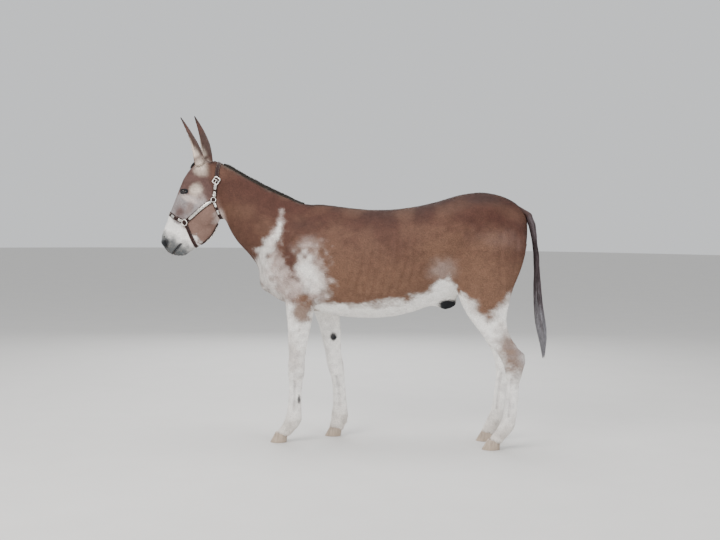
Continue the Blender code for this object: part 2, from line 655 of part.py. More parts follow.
def build_hoof(name, foot):
    """A hoof with a flat sole on the floor, sloping up to the rim where the hair starts."""
    toe, heel, rim_toe, rim_heel, y = foot
    side = Vector((0.0, 1.0, 0.0))
    rings = []
    for part, grow in ((0.0, 1.0), (0.06, 1.02), (0.55, 0.95), (1.0, 0.86)):
        front = Vector((toe + (rim_toe - toe) * part, y, HOOF_TOE * part))
        back = Vector((heel + (rim_heel - heel) * part, y, HOOF_HEEL * part))
        w = HOOF_HALF_WIDTH * grow
        rings.append(oval(front, back, side, (w * 0.72, w * 0.95, w, w * 0.72), 16))
    middle = sum(rings[-1], Vector()) / len(rings[-1])
    rings.append([middle + (p - middle) * 0.75 + Vector((0, 0, 0.004)) for p in rings[-1]])
    return loft(name, rings)


def build_tail():
    """The dock and its hair: a core to half way, and overlapping locks round it drawn to a thin end."""
    path = [Vector((x, 0.0, z)) for x, z in TAIL_LINE]
    core = tube("tail", path[:7], [0.022, 0.027, 0.026, 0.025, 0.024, 0.020, 0.012], 0.85)
    locks = []
    for number in range(TAIL_LOCKS):
        start = rng.uniform(0.8, 3.6) if number % 3 else rng.uniform(0.5, 1.6)
        round_angle = math.tau * (number * 0.381966)
        sideways, forward = math.cos(round_angle), math.sin(round_angle)
        reach = rng.uniform(3.6, 4.6) if number % 4 else len(path) - 1 - start
        reach = min(reach, len(path) - 1 - start)
        line = []
        for step in range(LOCK_ROWS):
            part = step / (LOCK_ROWS - 1)
            at = start + reach * part
            low = min(int(at), len(path) - 2)
            spot = path[low].lerp(path[low + 1], at - low)
            body = blend(TAIL_SPREAD, at) * (0.55 if step == 0 else 1.0)
            body *= 1.0 - 0.55 * max(0.0, (part - 0.5) * 2) * (at > 7)
            wave = 0.006 * math.sin(number * 1.7 + at * 1.3)
            line.append(spot + Vector((forward * body * 0.72 + wave, sideways * body, 0.0)))
        face = Vector((forward, sideways, 0.0)).normalized()
        locks.append(lock("lock", line, rng.uniform(0.028, 0.036), 0.011, face))
    combine(core, locks, "UNION")
    return core


def build_mane(surface):
    """A clipped mane: short locks set close along the crest, rising a little and leaning back."""
    locks = []
    for number in range(MANE_LOCKS):
        part = number / (MANE_LOCKS - 1)
        x = MANE_FRONT + (MANE_BACK - MANE_FRONT) * part
        side = 0.0025 * (1 if number % 2 else -1)
        place, _, _, _ = surface.ray_cast(Vector((x, side, ABOVE_ALL)), Vector((0, 0, -1)))
        tall = MANE_HEIGHT * (1.0 - 0.35 * max(0.0, part - 0.75) * 4) * rng.uniform(0.92, 1.06)
        away = Vector((0.30, side * 10, 1.0)).normalized()
        line = [place + away * (tall * t - 0.012 * (1 - t)) for t in (-0.35, 0.35, 0.80, 1.0)]
        line = [p + Vector((0.004 * t * t, 0, 0)) for t, p in enumerate(line)]
        locks.append(lock("lock", line, 0.060, 0.024, Vector((0.0, 1.0, 0.0)), 0.35))
    first = locks.pop(0)
    first.name = "mane"
    combine(first, locks, "UNION")
    return first


def build_forelock(surface):
    """The short stub of hair between the ears, lying forward over the forehead."""
    locks = []
    for number in range(5):
        side = (number - 2) * 0.011
        line = []
        for step in range(6):
            part = step / 5
            spot = on_head(0.005 + 0.060 * part, OUTSIDE, side * (1 + 0.5 * part))
            place, normal, _, _ = surface.ray_cast(spot, -OUT)
            lift = -0.004 + 0.016 * math.sin(math.pi * (0.15 + 0.70 * part))
            line.append(place + normal * lift)
        locks.append(lock("lock", line, 0.024, 0.010, OUT))
    first = locks.pop(2)
    first.name = "forelock"
    combine(first, locks, "UNION")
    return first


def cut_plate(a, b, low, high):
    """A plate as thin as a cut, along a line in the side view, from one side to the other."""
    start, end = Vector((a[0], 0, a[1])), Vector((b[0], 0, b[1]))
    run = (end - start).normalized()
    thick = run.cross(Vector((0.0, 1.0, 0.0))) * CUT / 2
    verts = []
    for y in (low, high):
        shift = Vector((0.0, y, 0.0))
        verts += [start - thick + shift, end - thick + shift, end + thick + shift, start + thick + shift]
    faces = [(0, 1, 2, 3), (4, 5, 6, 7), (0, 1, 5, 4), (1, 2, 6, 5), (2, 3, 7, 6), (3, 0, 4, 7)]
    return body_from("plate", verts, faces)


def split_parts(obj):
    """Every separate closed surface of a body as an object of its own."""
    work = bmesh.new()
    work.from_mesh(obj.data)
    work.verts.ensure_lookup_table()
    label = [-1] * len(work.verts)
    count = 0
    for start in work.verts:
        if label[start.index] >= 0:
            continue
        group = [start]
        label[start.index] = count
        for vert in group:
            for edge in vert.link_edges:
                other = edge.other_vert(vert)
                if label[other.index] < 0:
                    label[other.index] = count
                    group.append(other)
        count += 1
    work.free()
    parts = []
    for number in range(count):
        used = [i for i, mark in enumerate(label) if mark == number]
        if len(used) < SMALLEST_PART:
            continue
        place = {old: new for new, old in enumerate(used)}
        verts = [obj.data.vertices[i].co for i in used]
        own = [p for p in obj.data.polygons if label[p.vertices[0]] == number]
        faces = [tuple(place[i] for i in p.vertices) for p in own]
        parts.append(body_from("part", verts, faces))
    bpy.data.objects.remove(obj, do_unlink=True)
    return parts


def build_halter(surface):
    """The show halter: crown, cheek, nose, chin, throat and jaw straps, joined as one body of leather."""
    nose = fan(surface, RING_AT, (0.0, 1.0), -90, 90, 27)
    chin = fan(surface, RING_AT, (0.108, -0.108), -92, 92, 23)
    throat = fan(surface, JOINT, (0.125, -0.105), -92, 92, 19)
    crown = fan(surface, BUCKLE_AT, (-0.140, 0.068), -94, 94, 19)
    straps = [
        strap("halter", nose, STRAP, LEATHER_SINK, 0.0055),
        strap("chin", chin, STRAP * 0.85, LEATHER_SINK, 0.0052),
        strap("throat", throat, STRAP * 0.80, LEATHER_SINK, 0.0050),
        strap("crown", crown, STRAP, LEATHER_SINK, 0.0054),
        strap("jaw", under_jaw(surface, 8), STRAP * 0.80, LEATHER_SINK, 0.0048),
    ]
    for sign in (-1, 1):
        straps.append(strap("cheek", flank(surface, [JOINT, RING_AT], sign), STRAP, LEATHER_SINK, 0.0058))
        straps.append(strap("upper", flank(surface, [BUCKLE_AT, JOINT], sign), STRAP, LEATHER_SINK, 0.0057))
    first = straps.pop(0)
    combine(first, straps, "UNION")
    fittings = []
    for sign, word in ((-1, "left"), (1, "right")):
        for name, spot, size in (("ring_", RING_AT, RING_SIZE), ("buckle_", BUCKLE_AT, BUCKLE_SIZE)):
            place, normal, _, _ = surface.ray_cast(on_head(*spot, sign * OUTSIDE), -SIDE * sign)
            work = bmesh.new()
            bmesh.ops.create_cone(work, cap_ends=True, segments=20 if name == "ring_" else 4,
                                  radius1=size, radius2=size * 0.9, depth=FITTING_THICKNESS)
            turn = normal.to_track_quat("Z", "Y").to_matrix().to_4x4()
            turn = turn @ Matrix.Rotation(math.radians(45), 4, "Z")
            lift = Matrix.Translation(place + normal * FITTING_HEIGHT)
            bmesh.ops.transform(work, matrix=lift @ turn, verts=work.verts)
            bmesh.ops.triangulate(work, faces=work.faces)
            mesh = bpy.data.meshes.new(name + word)
            work.to_mesh(mesh)
            work.free()
            fitting = bpy.data.objects.new(name + word, mesh)
            scratch.objects.link(fitting)
            fittings.append(fitting)
    return first, fittings


clear_scene()
scratch = bpy.data.collections.new("scratch")
bpy.context.scene.collection.children.link(scratch)
product = bpy.data.collections.new("mule")
bpy.context.scene.collection.children.link(product)

skin = build_skin()
relax(skin.data, SMOOTHING, firmness)
skin.data.calc_loop_triangles()
decimate(skin, SKIN_TRIANGLES * FIRST_THINNING)
skin.data.calc_loop_triangles()
decimate(skin, SKIN_TRIANGLES, [v.co.x >= HEAD_BEFORE for v in skin.data.vertices])

# Eyelids, eye sockets, nostrils and the line of the mouth.
surface = BVHTree.FromObject(skin, bpy.context.evaluated_depsgraph_get())
lids, openings, sockets = [], [], []
eyes = []
for sign, word in ((-1, "left"), (1, "right")):
    centre = on_head(*EYE[:2], sign * EYE[2])
    lids.append(ellipsoid("lid", centre, HEAD_AXES, LID, 2))
    slit = HEAD_AXES @ Matrix.Rotation(math.radians(EYE_TILT), 4, "Y")
    openings.append(ellipsoid("opening", centre + SIDE * sign * EYE_RADIUS, slit, EYE_OPENING, 2))
    sockets.append(ellipsoid("socket", centre, HEAD_AXES, [EYE_RADIUS + GAP] * 3, 3))
    eyes.append(ellipsoid("eye_" + word, centre, HEAD_AXES, [EYE_RADIUS] * 3, 3))
    (d, h, s), (long, tall, wide), angle = NOSTRIL
    slant = HEAD_AXES @ Matrix.Rotation(math.radians(angle), 4, "Y")
    openings.append(ellipsoid("nostril", on_head(d, h, sign * s), slant, (long, wide, tall), 2))
lips = (MOUTH_FRONT[0] - MOUTH_CORNER[0], MOUTH_FRONT[1] - MOUTH_CORNER[1])
openings.append(strap("mouth", fan(surface, MOUTH_CORNER, lips, -88, 88, 19), 0.0032, -0.008, 0.006))
combine(skin, lids, "UNION")
combine(skin, openings, "DIFFERENCE")
combine(skin, sockets, "DIFFERENCE")

# Everything that stands on the skin is cut to it with a hair's breadth between.
surface = BVHTree.FromObject(skin, bpy.context.evaluated_depsgraph_get())
hooves = [build_hoof(name, foot) for name, foot in FEET.items()]
combine(skin, [swollen(hoof, "hoof_room") for hoof in hooves], "DIFFERENCE")
ears = []
for word, sign in (("left", -1), ("right", 1)):
    base, tip = EARS[word]
    ear = build_ear("ear_" + word, sign, (*base[:2], sign * base[2]), (*tip[:2], sign * tip[2]))
    combine(ear, [swollen(skin, "room")], "DIFFERENCE")
    ears.append(ear)
halter, fittings = build_halter(surface)
combine(halter, [swollen(skin, "room")], "DIFFERENCE")
for ear in ears:
    combine(halter, [swollen(ear, "room")], "DIFFERENCE")
for fitting in fittings:
    combine(fitting, [swollen(halter, "room", 0.0009)], "DIFFERENCE")
    combine(fitting, [swollen(skin, "room")], "DIFFERENCE")
mane, forelock = build_mane(surface), build_forelock(surface)
for hair in (mane, forelock):
    combine(hair, [swollen(skin, "room")], "DIFFERENCE")
    combine(hair, [swollen(halter, "room")], "DIFFERENCE")
    for ear in ears:
        combine(hair, [swollen(ear, "room")], "DIFFERENCE")
tail = build_tail()
combine(tail, [swollen(skin, "room")], "DIFFERENCE")

# Thin cuts part the skin at the throat, the base of the neck and the tops of the legs.
plates = [
    cut_plate((-0.925, 1.860), (-0.832, 1.290), -0.3, 0.3),
    cut_plate((-0.235, 1.580), (-0.640, 0.925), -0.4, 0.4),
    cut_plate((-0.520, 0.778), (-0.150, 0.778), -0.34, -0.02),
    cut_plate((-0.380, 0.745), (0.020, 0.745), 0.02, 0.34),
    cut_plate((0.470, 0.824), (1.200, 1.080), -0.36, -0.045),
    cut_plate((0.470, 0.824), (1.200, 1.080), 0.045, 0.36),
]
combine(skin, plates, "DIFFERENCE", all_shells=True)
flesh = split_parts(skin)
for part in flesh:
    middle = sum((v.co for v in part.data.vertices), Vector()) / len(part.data.vertices)
    part.name = min(ANCHORS, key=lambda key: (Vector(ANCHORS[key]) - middle).length)

# Name, colour and place every part, with the middle of its bounding box over the origin.
nodes = flesh + eyes + ears + hooves + [tail, mane, forelock, halter] + fittings
slots = {name: make_material(name, colour, rough, 1.0 if name == "silver" else 0.0)
         for name, (colour, rough) in MATERIALS.items()}
low = Vector([min(v.co[axis] for node in nodes for v in node.data.vertices) for axis in range(3)])
high = Vector([max(v.co[axis] for node in nodes for v in node.data.vertices) for axis in range(3)])
shift = Vector((-(low.x + high.x) / 2, -(low.y + high.y) / 2, -low.z))
total = 0
for node in nodes:
    node.data.transform(Matrix.Translation(shift))
    node.data.materials.clear()
    node.data.materials.append(slots[LOOKS[node.name.split("_")[0]]])
    scratch.objects.unlink(node)
    product.objects.link(node)
    total += count_triangles(node)
print(len(nodes), "nodes,", total, "triangles, moved by", [round(v, 4) for v in shift])
bpy.data.collections.remove(scratch)
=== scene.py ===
"""The looks of a life-size standing mule in a show halter, built around its packed CAD frame.

One skin is made from the flesh of the frame, sculpted, and painted by rule. Coat, mane, tail and
whiskers are meshes of hair set on it. Hooves, eyes and halter are pieces of their own.
"""

import math
from contextlib import contextmanager

import bmesh
import bpy
import numpy as np
from bpy.props import FloatProperty, FloatVectorProperty, IntProperty, PointerProperty
from mathutils import Matrix, Vector
from mathutils.bvhtree import BVHTree


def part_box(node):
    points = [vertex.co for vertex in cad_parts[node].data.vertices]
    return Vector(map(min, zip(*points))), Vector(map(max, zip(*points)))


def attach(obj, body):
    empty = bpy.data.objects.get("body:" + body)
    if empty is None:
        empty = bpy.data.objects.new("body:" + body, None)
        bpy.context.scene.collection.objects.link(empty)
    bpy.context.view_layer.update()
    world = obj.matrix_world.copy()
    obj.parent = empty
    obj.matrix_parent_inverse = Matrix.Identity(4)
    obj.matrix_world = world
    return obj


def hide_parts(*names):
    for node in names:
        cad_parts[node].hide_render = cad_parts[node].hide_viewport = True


bl_info = {
    "name": "Standing mule",
    "version": (1, 0, 0),
    "blender": (4, 5, 0),
    "location": "3D View > Sidebar > Mule",
    "description": "Builds the skin, coat, hair, hooves, eyes and halter of a standing mule",
    "category": "Add Mesh",
}

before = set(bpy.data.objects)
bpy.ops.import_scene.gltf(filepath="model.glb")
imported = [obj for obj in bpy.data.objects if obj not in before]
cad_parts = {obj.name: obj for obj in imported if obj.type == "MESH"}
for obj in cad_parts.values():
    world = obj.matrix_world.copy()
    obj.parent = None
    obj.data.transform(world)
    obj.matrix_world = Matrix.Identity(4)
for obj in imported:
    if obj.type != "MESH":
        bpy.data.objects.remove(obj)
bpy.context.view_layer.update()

# The head's own directions, as the frame was built: from the poll to the lips, to its right, out of the face.
POLL = np.array((-0.955, 0.0, 1.735))
FACE_SLOPE = math.radians(24)
HEAD_TURN = math.radians(-7)
_c, _s = math.cos(HEAD_TURN), math.sin(HEAD_TURN)
ALONG = np.array((-math.sin(FACE_SLOPE) * _c, -math.sin(FACE_SLOPE) * _s, -math.cos(FACE_SLOPE)))
OUT = np.array((-math.cos(FACE_SLOPE) * _c, -math.cos(FACE_SLOPE) * _s, math.sin(FACE_SLOPE)))
SIDE = np.array((-_s, _c, 0.0))
EYE_PLACE = (0.214, 0.009, 0.087)
EYE_RADIUS = 0.0225

# Where the frame's origin lies from the place that the animal's own sizes are measured from.
_low, _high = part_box("eye_left")
_eye = (np.array(_low) + np.array(_high)) / 2
SHIFT = _eye - (POLL + ALONG * EYE_PLACE[0] + OUT * EYE_PLACE[1] - SIDE * EYE_PLACE[2])

FLESH = ("head", "neck", "torso", "foreleg_left", "foreleg_right", "hindleg_left", "hindleg_right")
SIDES = (("left", -1), ("right", 1))


def settings():
    """The scene, which holds the sizes and colours that a user may change."""
    return bpy.context.scene


# Numbers and arrays.

def ramp(low, high, value):
    """0 below `low`, 1 above `high`, with a soft step between. `low` may be the larger."""
    part = np.clip((value - low) / (high - low), 0.0, 1.0)
    return part * part * (3.0 - 2.0 * part)


def mix(a, b, part):
    """Rows of `a` drawn towards `b` by a share for each row."""
    return a + (np.asarray(b) - a) * part[:, None]


def unit(vectors):
    """Rows of vectors brought to length 1."""
    return vectors / np.maximum(np.linalg.norm(vectors, axis=1), 1e-9)[:, None]


def straight(vector):
    """One vector brought to length 1."""
    return vector / np.linalg.norm(vector)


def flattened(ways, normals):
    """Directions laid flat on the skin."""
    return ways - normals * np.einsum("ij,ij->i", ways, normals)[:, None]


def scatter(cells, seed):
    """A repeatable number from 0 to 1 for each cell of whole numbers."""
    mixed = cells[..., 0] * 374761393 + cells[..., 1] * 668265263 + cells[..., 2] * 2147483647 + seed * 1274126177
    mixed = (mixed ^ (mixed >> 13)) * 1274126177
    mixed = mixed & 0xFFFFFF
    return mixed / 0xFFFFFF


def noise(points, size, seed=0):
    """Soft noise from 0 to 1 with bumps of about `size` metres."""
    spots = points / size + 1000.0
    base = np.floor(spots).astype(np.int64)
    part = spots - base
    part = part * part * (3.0 - 2.0 * part)
    total = np.zeros(len(points))
    for dx in (0, 1):
        for dy in (0, 1):
            for dz in (0, 1):
                weight = np.ones(len(points))
                for axis, step in enumerate((dx, dy, dz)):
                    weight *= part[:, axis] if step else 1.0 - part[:, axis]
                total += weight * scatter(base + np.array((dx, dy, dz)), seed)
    return total


def to_head(points):
    """Places in the head's directions: distance along it, height over its axis, side."""
    rows = np.array((ALONG, OUT, SIDE))
    return (points - POLL) @ rows.T


def on_head(along, out, side=0.0):
    """A place given in the head's directions."""
    return POLL + ALONG * along + OUT * out + SIDE * side


def mirrored(spot, sign):
    """A spot of the head on the left or the right side of it."""
    return spot[0], spot[1], sign * spot[2]


# Meshes.

def make_object(name, mesh):
    obj = bpy.data.objects.new(name, mesh)
    bpy.context.scene.collection.objects.link(obj)
    return obj


def points_of(mesh):
    flat = np.empty(len(mesh.vertices) * 3)
    mesh.vertices.foreach_get("co", flat)
    return flat.reshape(-1, 3) - SHIFT


def set_points(mesh, points):
    mesh.vertices.foreach_set("co", (points + SHIFT).ravel())
    mesh.update()


def normals_of(mesh):
    flat = np.empty(len(mesh.vertices) * 3)
    mesh.vertices.foreach_get("normal", flat)
    return flat.reshape(-1, 3)


NO_QUADS = np.empty((0, 4), dtype=int)
NO_TRIS = np.empty((0, 3), dtype=int)


def fast_mesh(name, verts, quads, tris):
    """A mesh from arrays of points, four-sided faces and three-sided faces, in the animal's own places."""
    mesh = bpy.data.meshes.new(name)
    loops = np.concatenate((quads.ravel(), tris.ravel())).astype(np.int32)
    sizes = np.concatenate((np.full(len(quads), 4), np.full(len(tris), 3)))
    starts = np.concatenate(((0,), np.cumsum(sizes)[:-1])).astype(np.int32)
    mesh.vertices.add(len(verts))
    mesh.vertices.foreach_set("co", (verts + SHIFT).astype(np.float32).ravel())
    mesh.loops.add(len(loops))
    mesh.loops.foreach_set("vertex_index", loops)
    mesh.polygons.add(len(sizes))
    mesh.polygons.foreach_set("loop_start", starts)
    mesh.update(calc_edges=True)
    mesh.polygons.foreach_set("use_smooth", np.ones(len(sizes), dtype=bool))
    mesh.validate()
    return mesh


def paint(mesh, colours, name="coat_colour"):
    """Write one colour for each vertex."""
    layer = mesh.color_attributes.new(name, "FLOAT_COLOR", "POINT")
    rgba = np.ones((len(mesh.vertices), 4), dtype=np.float32)
    rgba[:, :3] = np.clip(colours, 0.0, 1.0)
    layer.data.foreach_set("color", rgba.ravel())


def write_map(mesh, spots):
    """Write the map that the baked colours go to, one place for each vertex."""
    layer = mesh.uv_layers.new(name="OFBake")
    corners = np.empty(len(mesh.loops), dtype=np.int64)
    mesh.loops.foreach_get("vertex_index", corners)
    layer.data.foreach_set("uv", spots.astype(np.float32)[corners].ravel())


def smooth_faces(mesh):
    mesh.polygons.foreach_set("use_smooth", np.ones(len(mesh.polygons), dtype=bool))


@contextmanager
def editing(mesh):
    """A working copy of a mesh, written back at the end."""
    work = bmesh.new()
    work.from_mesh(mesh)
    yield work
    work.to_mesh(mesh)
    work.free()


def edge_ends(mesh):
    """The first and the second vertex of every edge."""
    pairs = np.empty(len(mesh.edges) * 2, dtype=np.int64)
    mesh.edges.foreach_get("vertices", pairs)
    return pairs.reshape(-1, 2).T


def tube_faces(rows, ring, closed=False):
    """Four-sided faces between the rows of a tube, and from its last row to its first where it is closed."""
    row, col = np.meshgrid(np.arange(rows if closed else rows - 1), np.arange(ring), indexing="ij")
    here, there = row * ring + col, row * ring + (col + 1) % ring
    return np.stack((here, there, there + ring, here + ring), axis=-1).reshape(-1, 4) % (rows * ring)


def end_faces(rows, ring):
    """Three-sided faces that close a tube, round the two points that follow those of its rows."""
    step, last, hub = np.arange(ring), (rows - 1) * ring, rows * ring
    return np.concatenate((np.stack(((step + 1) % ring, step, np.full(ring, hub)), axis=1),
                           np.stack((last + step, last + (step + 1) % ring, np.full(ring, hub + 1)), axis=1)))


def largest_shell(mesh):
    """Keep only the largest closed surface of a mesh."""
    one, two = edge_ends(mesh)
    label = np.arange(len(mesh.vertices))
    while True:
        lower = label.copy()
        np.minimum.at(lower, one, label[two])
        np.minimum.at(lower, two, label[one])
        lower = lower[lower]
        if (lower == label).all():
            break
        label = lower
    main = np.bincount(label).argmax()
    if (label == main).all():
        return
    with editing(mesh) as work:
        work.verts.ensure_lookup_table()
        bmesh.ops.delete(work, geom=[work.verts[i] for i in np.nonzero(label != main)[0]], context="VERTS")


def apply_modifiers(obj):
    graph = bpy.context.evaluated_depsgraph_get()
    mesh = bpy.data.meshes.new_from_object(obj.evaluated_get(graph), depsgraph=graph)
    obj.modifiers.clear()
    obj.data = mesh
    return mesh


# Steps in and out towards the mean of a vertex's neighbours. The step out keeps a mesh from shrinking.
STEP_IN = (0.5,)
STEP_IN_AND_OUT = (0.5, -0.53)


def even_out(mesh, rounds, weight, steps=STEP_IN_AND_OUT):
    """Even out a mesh over its neighbours, by a weight from 0 to 1 for each vertex."""
    count = len(mesh.vertices)
    points = points_of(mesh)
    one, two = edge_ends(mesh)
    degree = np.maximum(np.bincount(one, minlength=count) + np.bincount(two, minlength=count), 1)
    for step in steps * rounds:
        mean = np.empty_like(points)
        for axis in range(3):
            total = np.bincount(one, points[two, axis], count) + np.bincount(two, points[one, axis], count)
            mean[:, axis] = total / degree
        points = points + (mean - points) * (step * weight)[:, None]
    set_points(mesh, points)


def refine(mesh, chosen):
    """Split every face whose vertices are all chosen into four."""
    with editing(mesh) as work:
        edges = [e for e in work.edges if chosen[e.verts[0].index] and chosen[e.verts[1].index]]
        bmesh.ops.subdivide_edges(work, edges=edges, cuts=1, use_grid_fill=True)


def path_distance(points, path):
    """Distance of each place from a line through a few points."""
    best = np.full(len(points), 1e9)
    for a, b in zip(path, path[1:]):
        a, b = np.asarray(a, float), np.asarray(b, float)
        run = b - a
        part = np.clip((points - a) @ run / (run @ run), 0.0, 1.0)
        best = np.minimum(best, np.linalg.norm(points - (a + part[:, None] * run), axis=1))
    return best


def cad_surface(names, swell):
    """The flesh nodes of the frame as one joined mesh, each pushed out a little so that neighbours touch."""
    verts, faces = [], []
    for name in names:
        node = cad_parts[name]
        work = bmesh.new()
        work.from_mesh(node.data)
        bmesh.ops.transform(work, matrix=node.matrix_world, verts=work.verts)
        bmesh.ops.remove_doubles(work, verts=work.verts, dist=1e-6)
        work.normal_update()
        start = len(verts)
        verts += [tuple(v.co + v.normal * swell) for v in work.verts]
        work.verts.index_update()
        faces += [tuple(start + v.index for v in f.verts) for f in work.faces]
        work.free()
    mesh = bpy.data.meshes.new("flesh")
    mesh.from_pydata(verts, [], faces)
    return mesh


def ball(centre, axes, sizes, level=3):
    """Points and faces of an ellipsoid, in the animal's own places."""
    work = bmesh.new()
    bmesh.ops.create_icosphere(work, subdivisions=level, radius=1.0)
    local = np.array([v.co[:] for v in work.verts]) * np.asarray(sizes)
    points = centre + local @ np.asarray(axes)
    faces = np.array([[v.index for v in f.verts] for f in work.faces])
    work.free()
    if np.linalg.det(np.asarray(axes)) < 0:
        faces = faces[:, ::-1]
    return points, faces


def head_share(points):
    """1 on the head, 0 on the neck and everywhere else, with a soft edge behind the jaw."""
    x, z = points[:, 0], points[:, 2]
    return ramp(-0.79, -0.85, x + 0.35 * (z - 1.4)) * (x < -0.72)


# Looks: the coat's colours, by place.

def coat_base(points, normals, colours):
    """Brown of the body: darker on top and over the rump, tan low on the barrel, softly mottled, with painted shade
    where the top of the back faces up.
    """
    x, _, z = points.T
    body = np.tile(colours["mid"], (len(points), 1))
    rise = ramp(1.18, 1.46, z + 0.05 * (noise(points, 0.16, 3) - 0.5) - 0.22 * ramp(-0.35, -0.85, x))
    body = mix(body, colours["dark"], rise * 0.8)
    body = mix(body, colours["dark"], ramp(0.45, 0.85, x) * ramp(0.95, 1.15, z) * 0.45)
    tan = ramp(1.26, 0.94, z) * ramp(-0.3, -0.05, x)
    body = mix(body, colours["tan"], tan * 0.95)
    # Painted shade: where the skin of the neck, back and croup faces up, it is drawn darker.
    body = body * (1.0 - 0.45 * ramp(0.45, 0.95, normals[:, 2]) * ramp(1.25, 1.38, z))[:, None]
    body = mix(body, colours["tan"], ramp(0.45, 0.85, noise(points, 0.11, 8)) * 0.35)
    mottle = noise(points, 0.045, 5) * 0.6 + noise(points, 0.014, 7) * 0.4
    return body * (0.86 + 0.28 * mottle)[:, None]


def roughened(reach, points, ragged, seed):
    """A distance from a mark's middle with its edge made ragged."""
    coarse, fine = noise(points, 0.035, seed) - 0.5, noise(points, 0.009, seed + 1) - 0.5
    return reach + ragged * (coarse * 1.4 + fine * 0.7)


def blob(points, spot, size, turn, side, soft, ragged, seed):
    """How strongly a soft oval mark of the side view covers each place, from 0 to 1."""
    x, y, z = points.T
    a = math.radians(turn)
    dx, dz = x - spot[0], z - spot[1]
    along = (dx * math.cos(a) + dz * math.sin(a)) / size[0]
    over = (-dx * math.sin(a) + dz * math.cos(a)) / size[1]
    mark = ramp(1.0 + soft, 1.0 - soft, roughened(np.hypot(along, over), points, ragged, seed))
    if side:
        mark *= ramp(-0.025, 0.02, y * side)
    return mark


def streak(points, path, soft, ragged, seed):
    """How strongly a ragged streak of the side view covers each place. The path gives places and half-widths."""
    spots = points[:, (0, 2)]
    reach = np.full(len(points), 1e9)
    for start, end in zip(path, path[1:]):
        run = np.subtract(end, start)
        part = np.clip((spots - start[:2]) @ run[:2] / (run[:2] @ run[:2]), 0.0, 1.0)
        off = np.linalg.norm(spots - start[:2] - part[:, None] * run[:2], axis=1)
        reach = np.minimum(reach, off / (start[2] + part * run[2]))
    strands_apart = 0.55 + 0.75 * noise(points * (1.0, 1.0, 0.28), 0.01, seed + 2)
    mark = ramp(1.0 + soft, 1.0 - soft, roughened(reach, points, ragged, seed))
    return mark * np.clip(strands_apart, 0.0, 1.0)


# Pale hair down the front of the chest: places in the side view and half-widths, softness, raggedness,
# colour, strength.
BODY_STREAKS = (
    (((-0.448, 1.43, 0.012), (-0.446, 1.32, 0.026), (-0.49, 1.245, 0.036)), 0.95, 1.4, "pale", 0.5),
    (((-0.45, 1.345, 0.012), (-0.462, 1.29, 0.018), (-0.5, 1.24, 0.03), (-0.55, 1.16, 0.046),
      (-0.565, 1.06, 0.06), (-0.52, 0.96, 0.06), (-0.46, 0.9, 0.05)), 0.85, 1.2, "white", 0.7),
    (((-0.47, 1.15, 0.04), (-0.44, 1.05, 0.065), (-0.4, 0.94, 0.08)), 0.85, 1.1, "pale", 0.66),
    (((-0.35, 1.0, 0.02), (-0.32, 0.93, 0.035)), 0.7, 0.8, "pale", 0.5),
)
# Marks on the body: place in the side view, half-sizes, turn, side (0 both), softness, raggedness, colour, strength.
BODY_MARKS = (
    ((-0.23, 1.045), (0.088, 0.135), 6, -1, 0.6, 0.85, "pale", 0.74),
    ((-0.262, 1.07), (0.048, 0.08), 8, -1, 0.9, 1.0, "white", 0.85),
    ((-0.205, 0.985), (0.055, 0.065), 20, -1, 0.9, 1.0, "white", 0.5),
    ((-0.235, 1.09), (0.09, 0.13), -25, 1, 0.55, 0.6, "pale", 0.62),
    ((-0.265, 1.215), (0.08, 0.05), 10, -1, 0.8, 0.8, "pale", 0.22),
    ((-0.1, 1.19), (0.15, 0.12), 0, -1, 0.8, 0.6, "tan", 0.45),
    ((-0.384, 1.19), (0.022, 0.15), 10, -1, 0.6, 0.7, "dark", 0.4),
    ((-0.54, 1.33), (0.06, 0.05), 30, 0, 0.8, 0.7, "tan", 0.3),
    # Painted sheen: the lighter tan patch on the flank, where the coat catches the light.
    ((0.55, 1.215), (0.15, 0.11), 10, 0, 0.95, 0.5, "tan", 0.8),
    ((0.562, 1.086), (0.068, 0.058), 10, 0, 0.95, 0.5, "pale", 0.27),
    # Painted sheen: the horizontal lighter band across the thigh, where the coat catches the light.
    ((0.885, 1.275), (0.13, 0.046), -5, 0, 0.95, 0.6, "cheek", 0.55),
    ((0.8, 1.1), (0.13, 0.2), -12, 0, 0.8, 0.5, "tan", 0.7),
)
# The top line of the neck in the side view.
CREST = (
    (-0.9, 1.75), (-0.82, 1.733), (-0.73, 1.687), (-0.63, 1.632), (-0.53, 1.582), (-0.43, 1.54), (-0.33, 1.5),
)


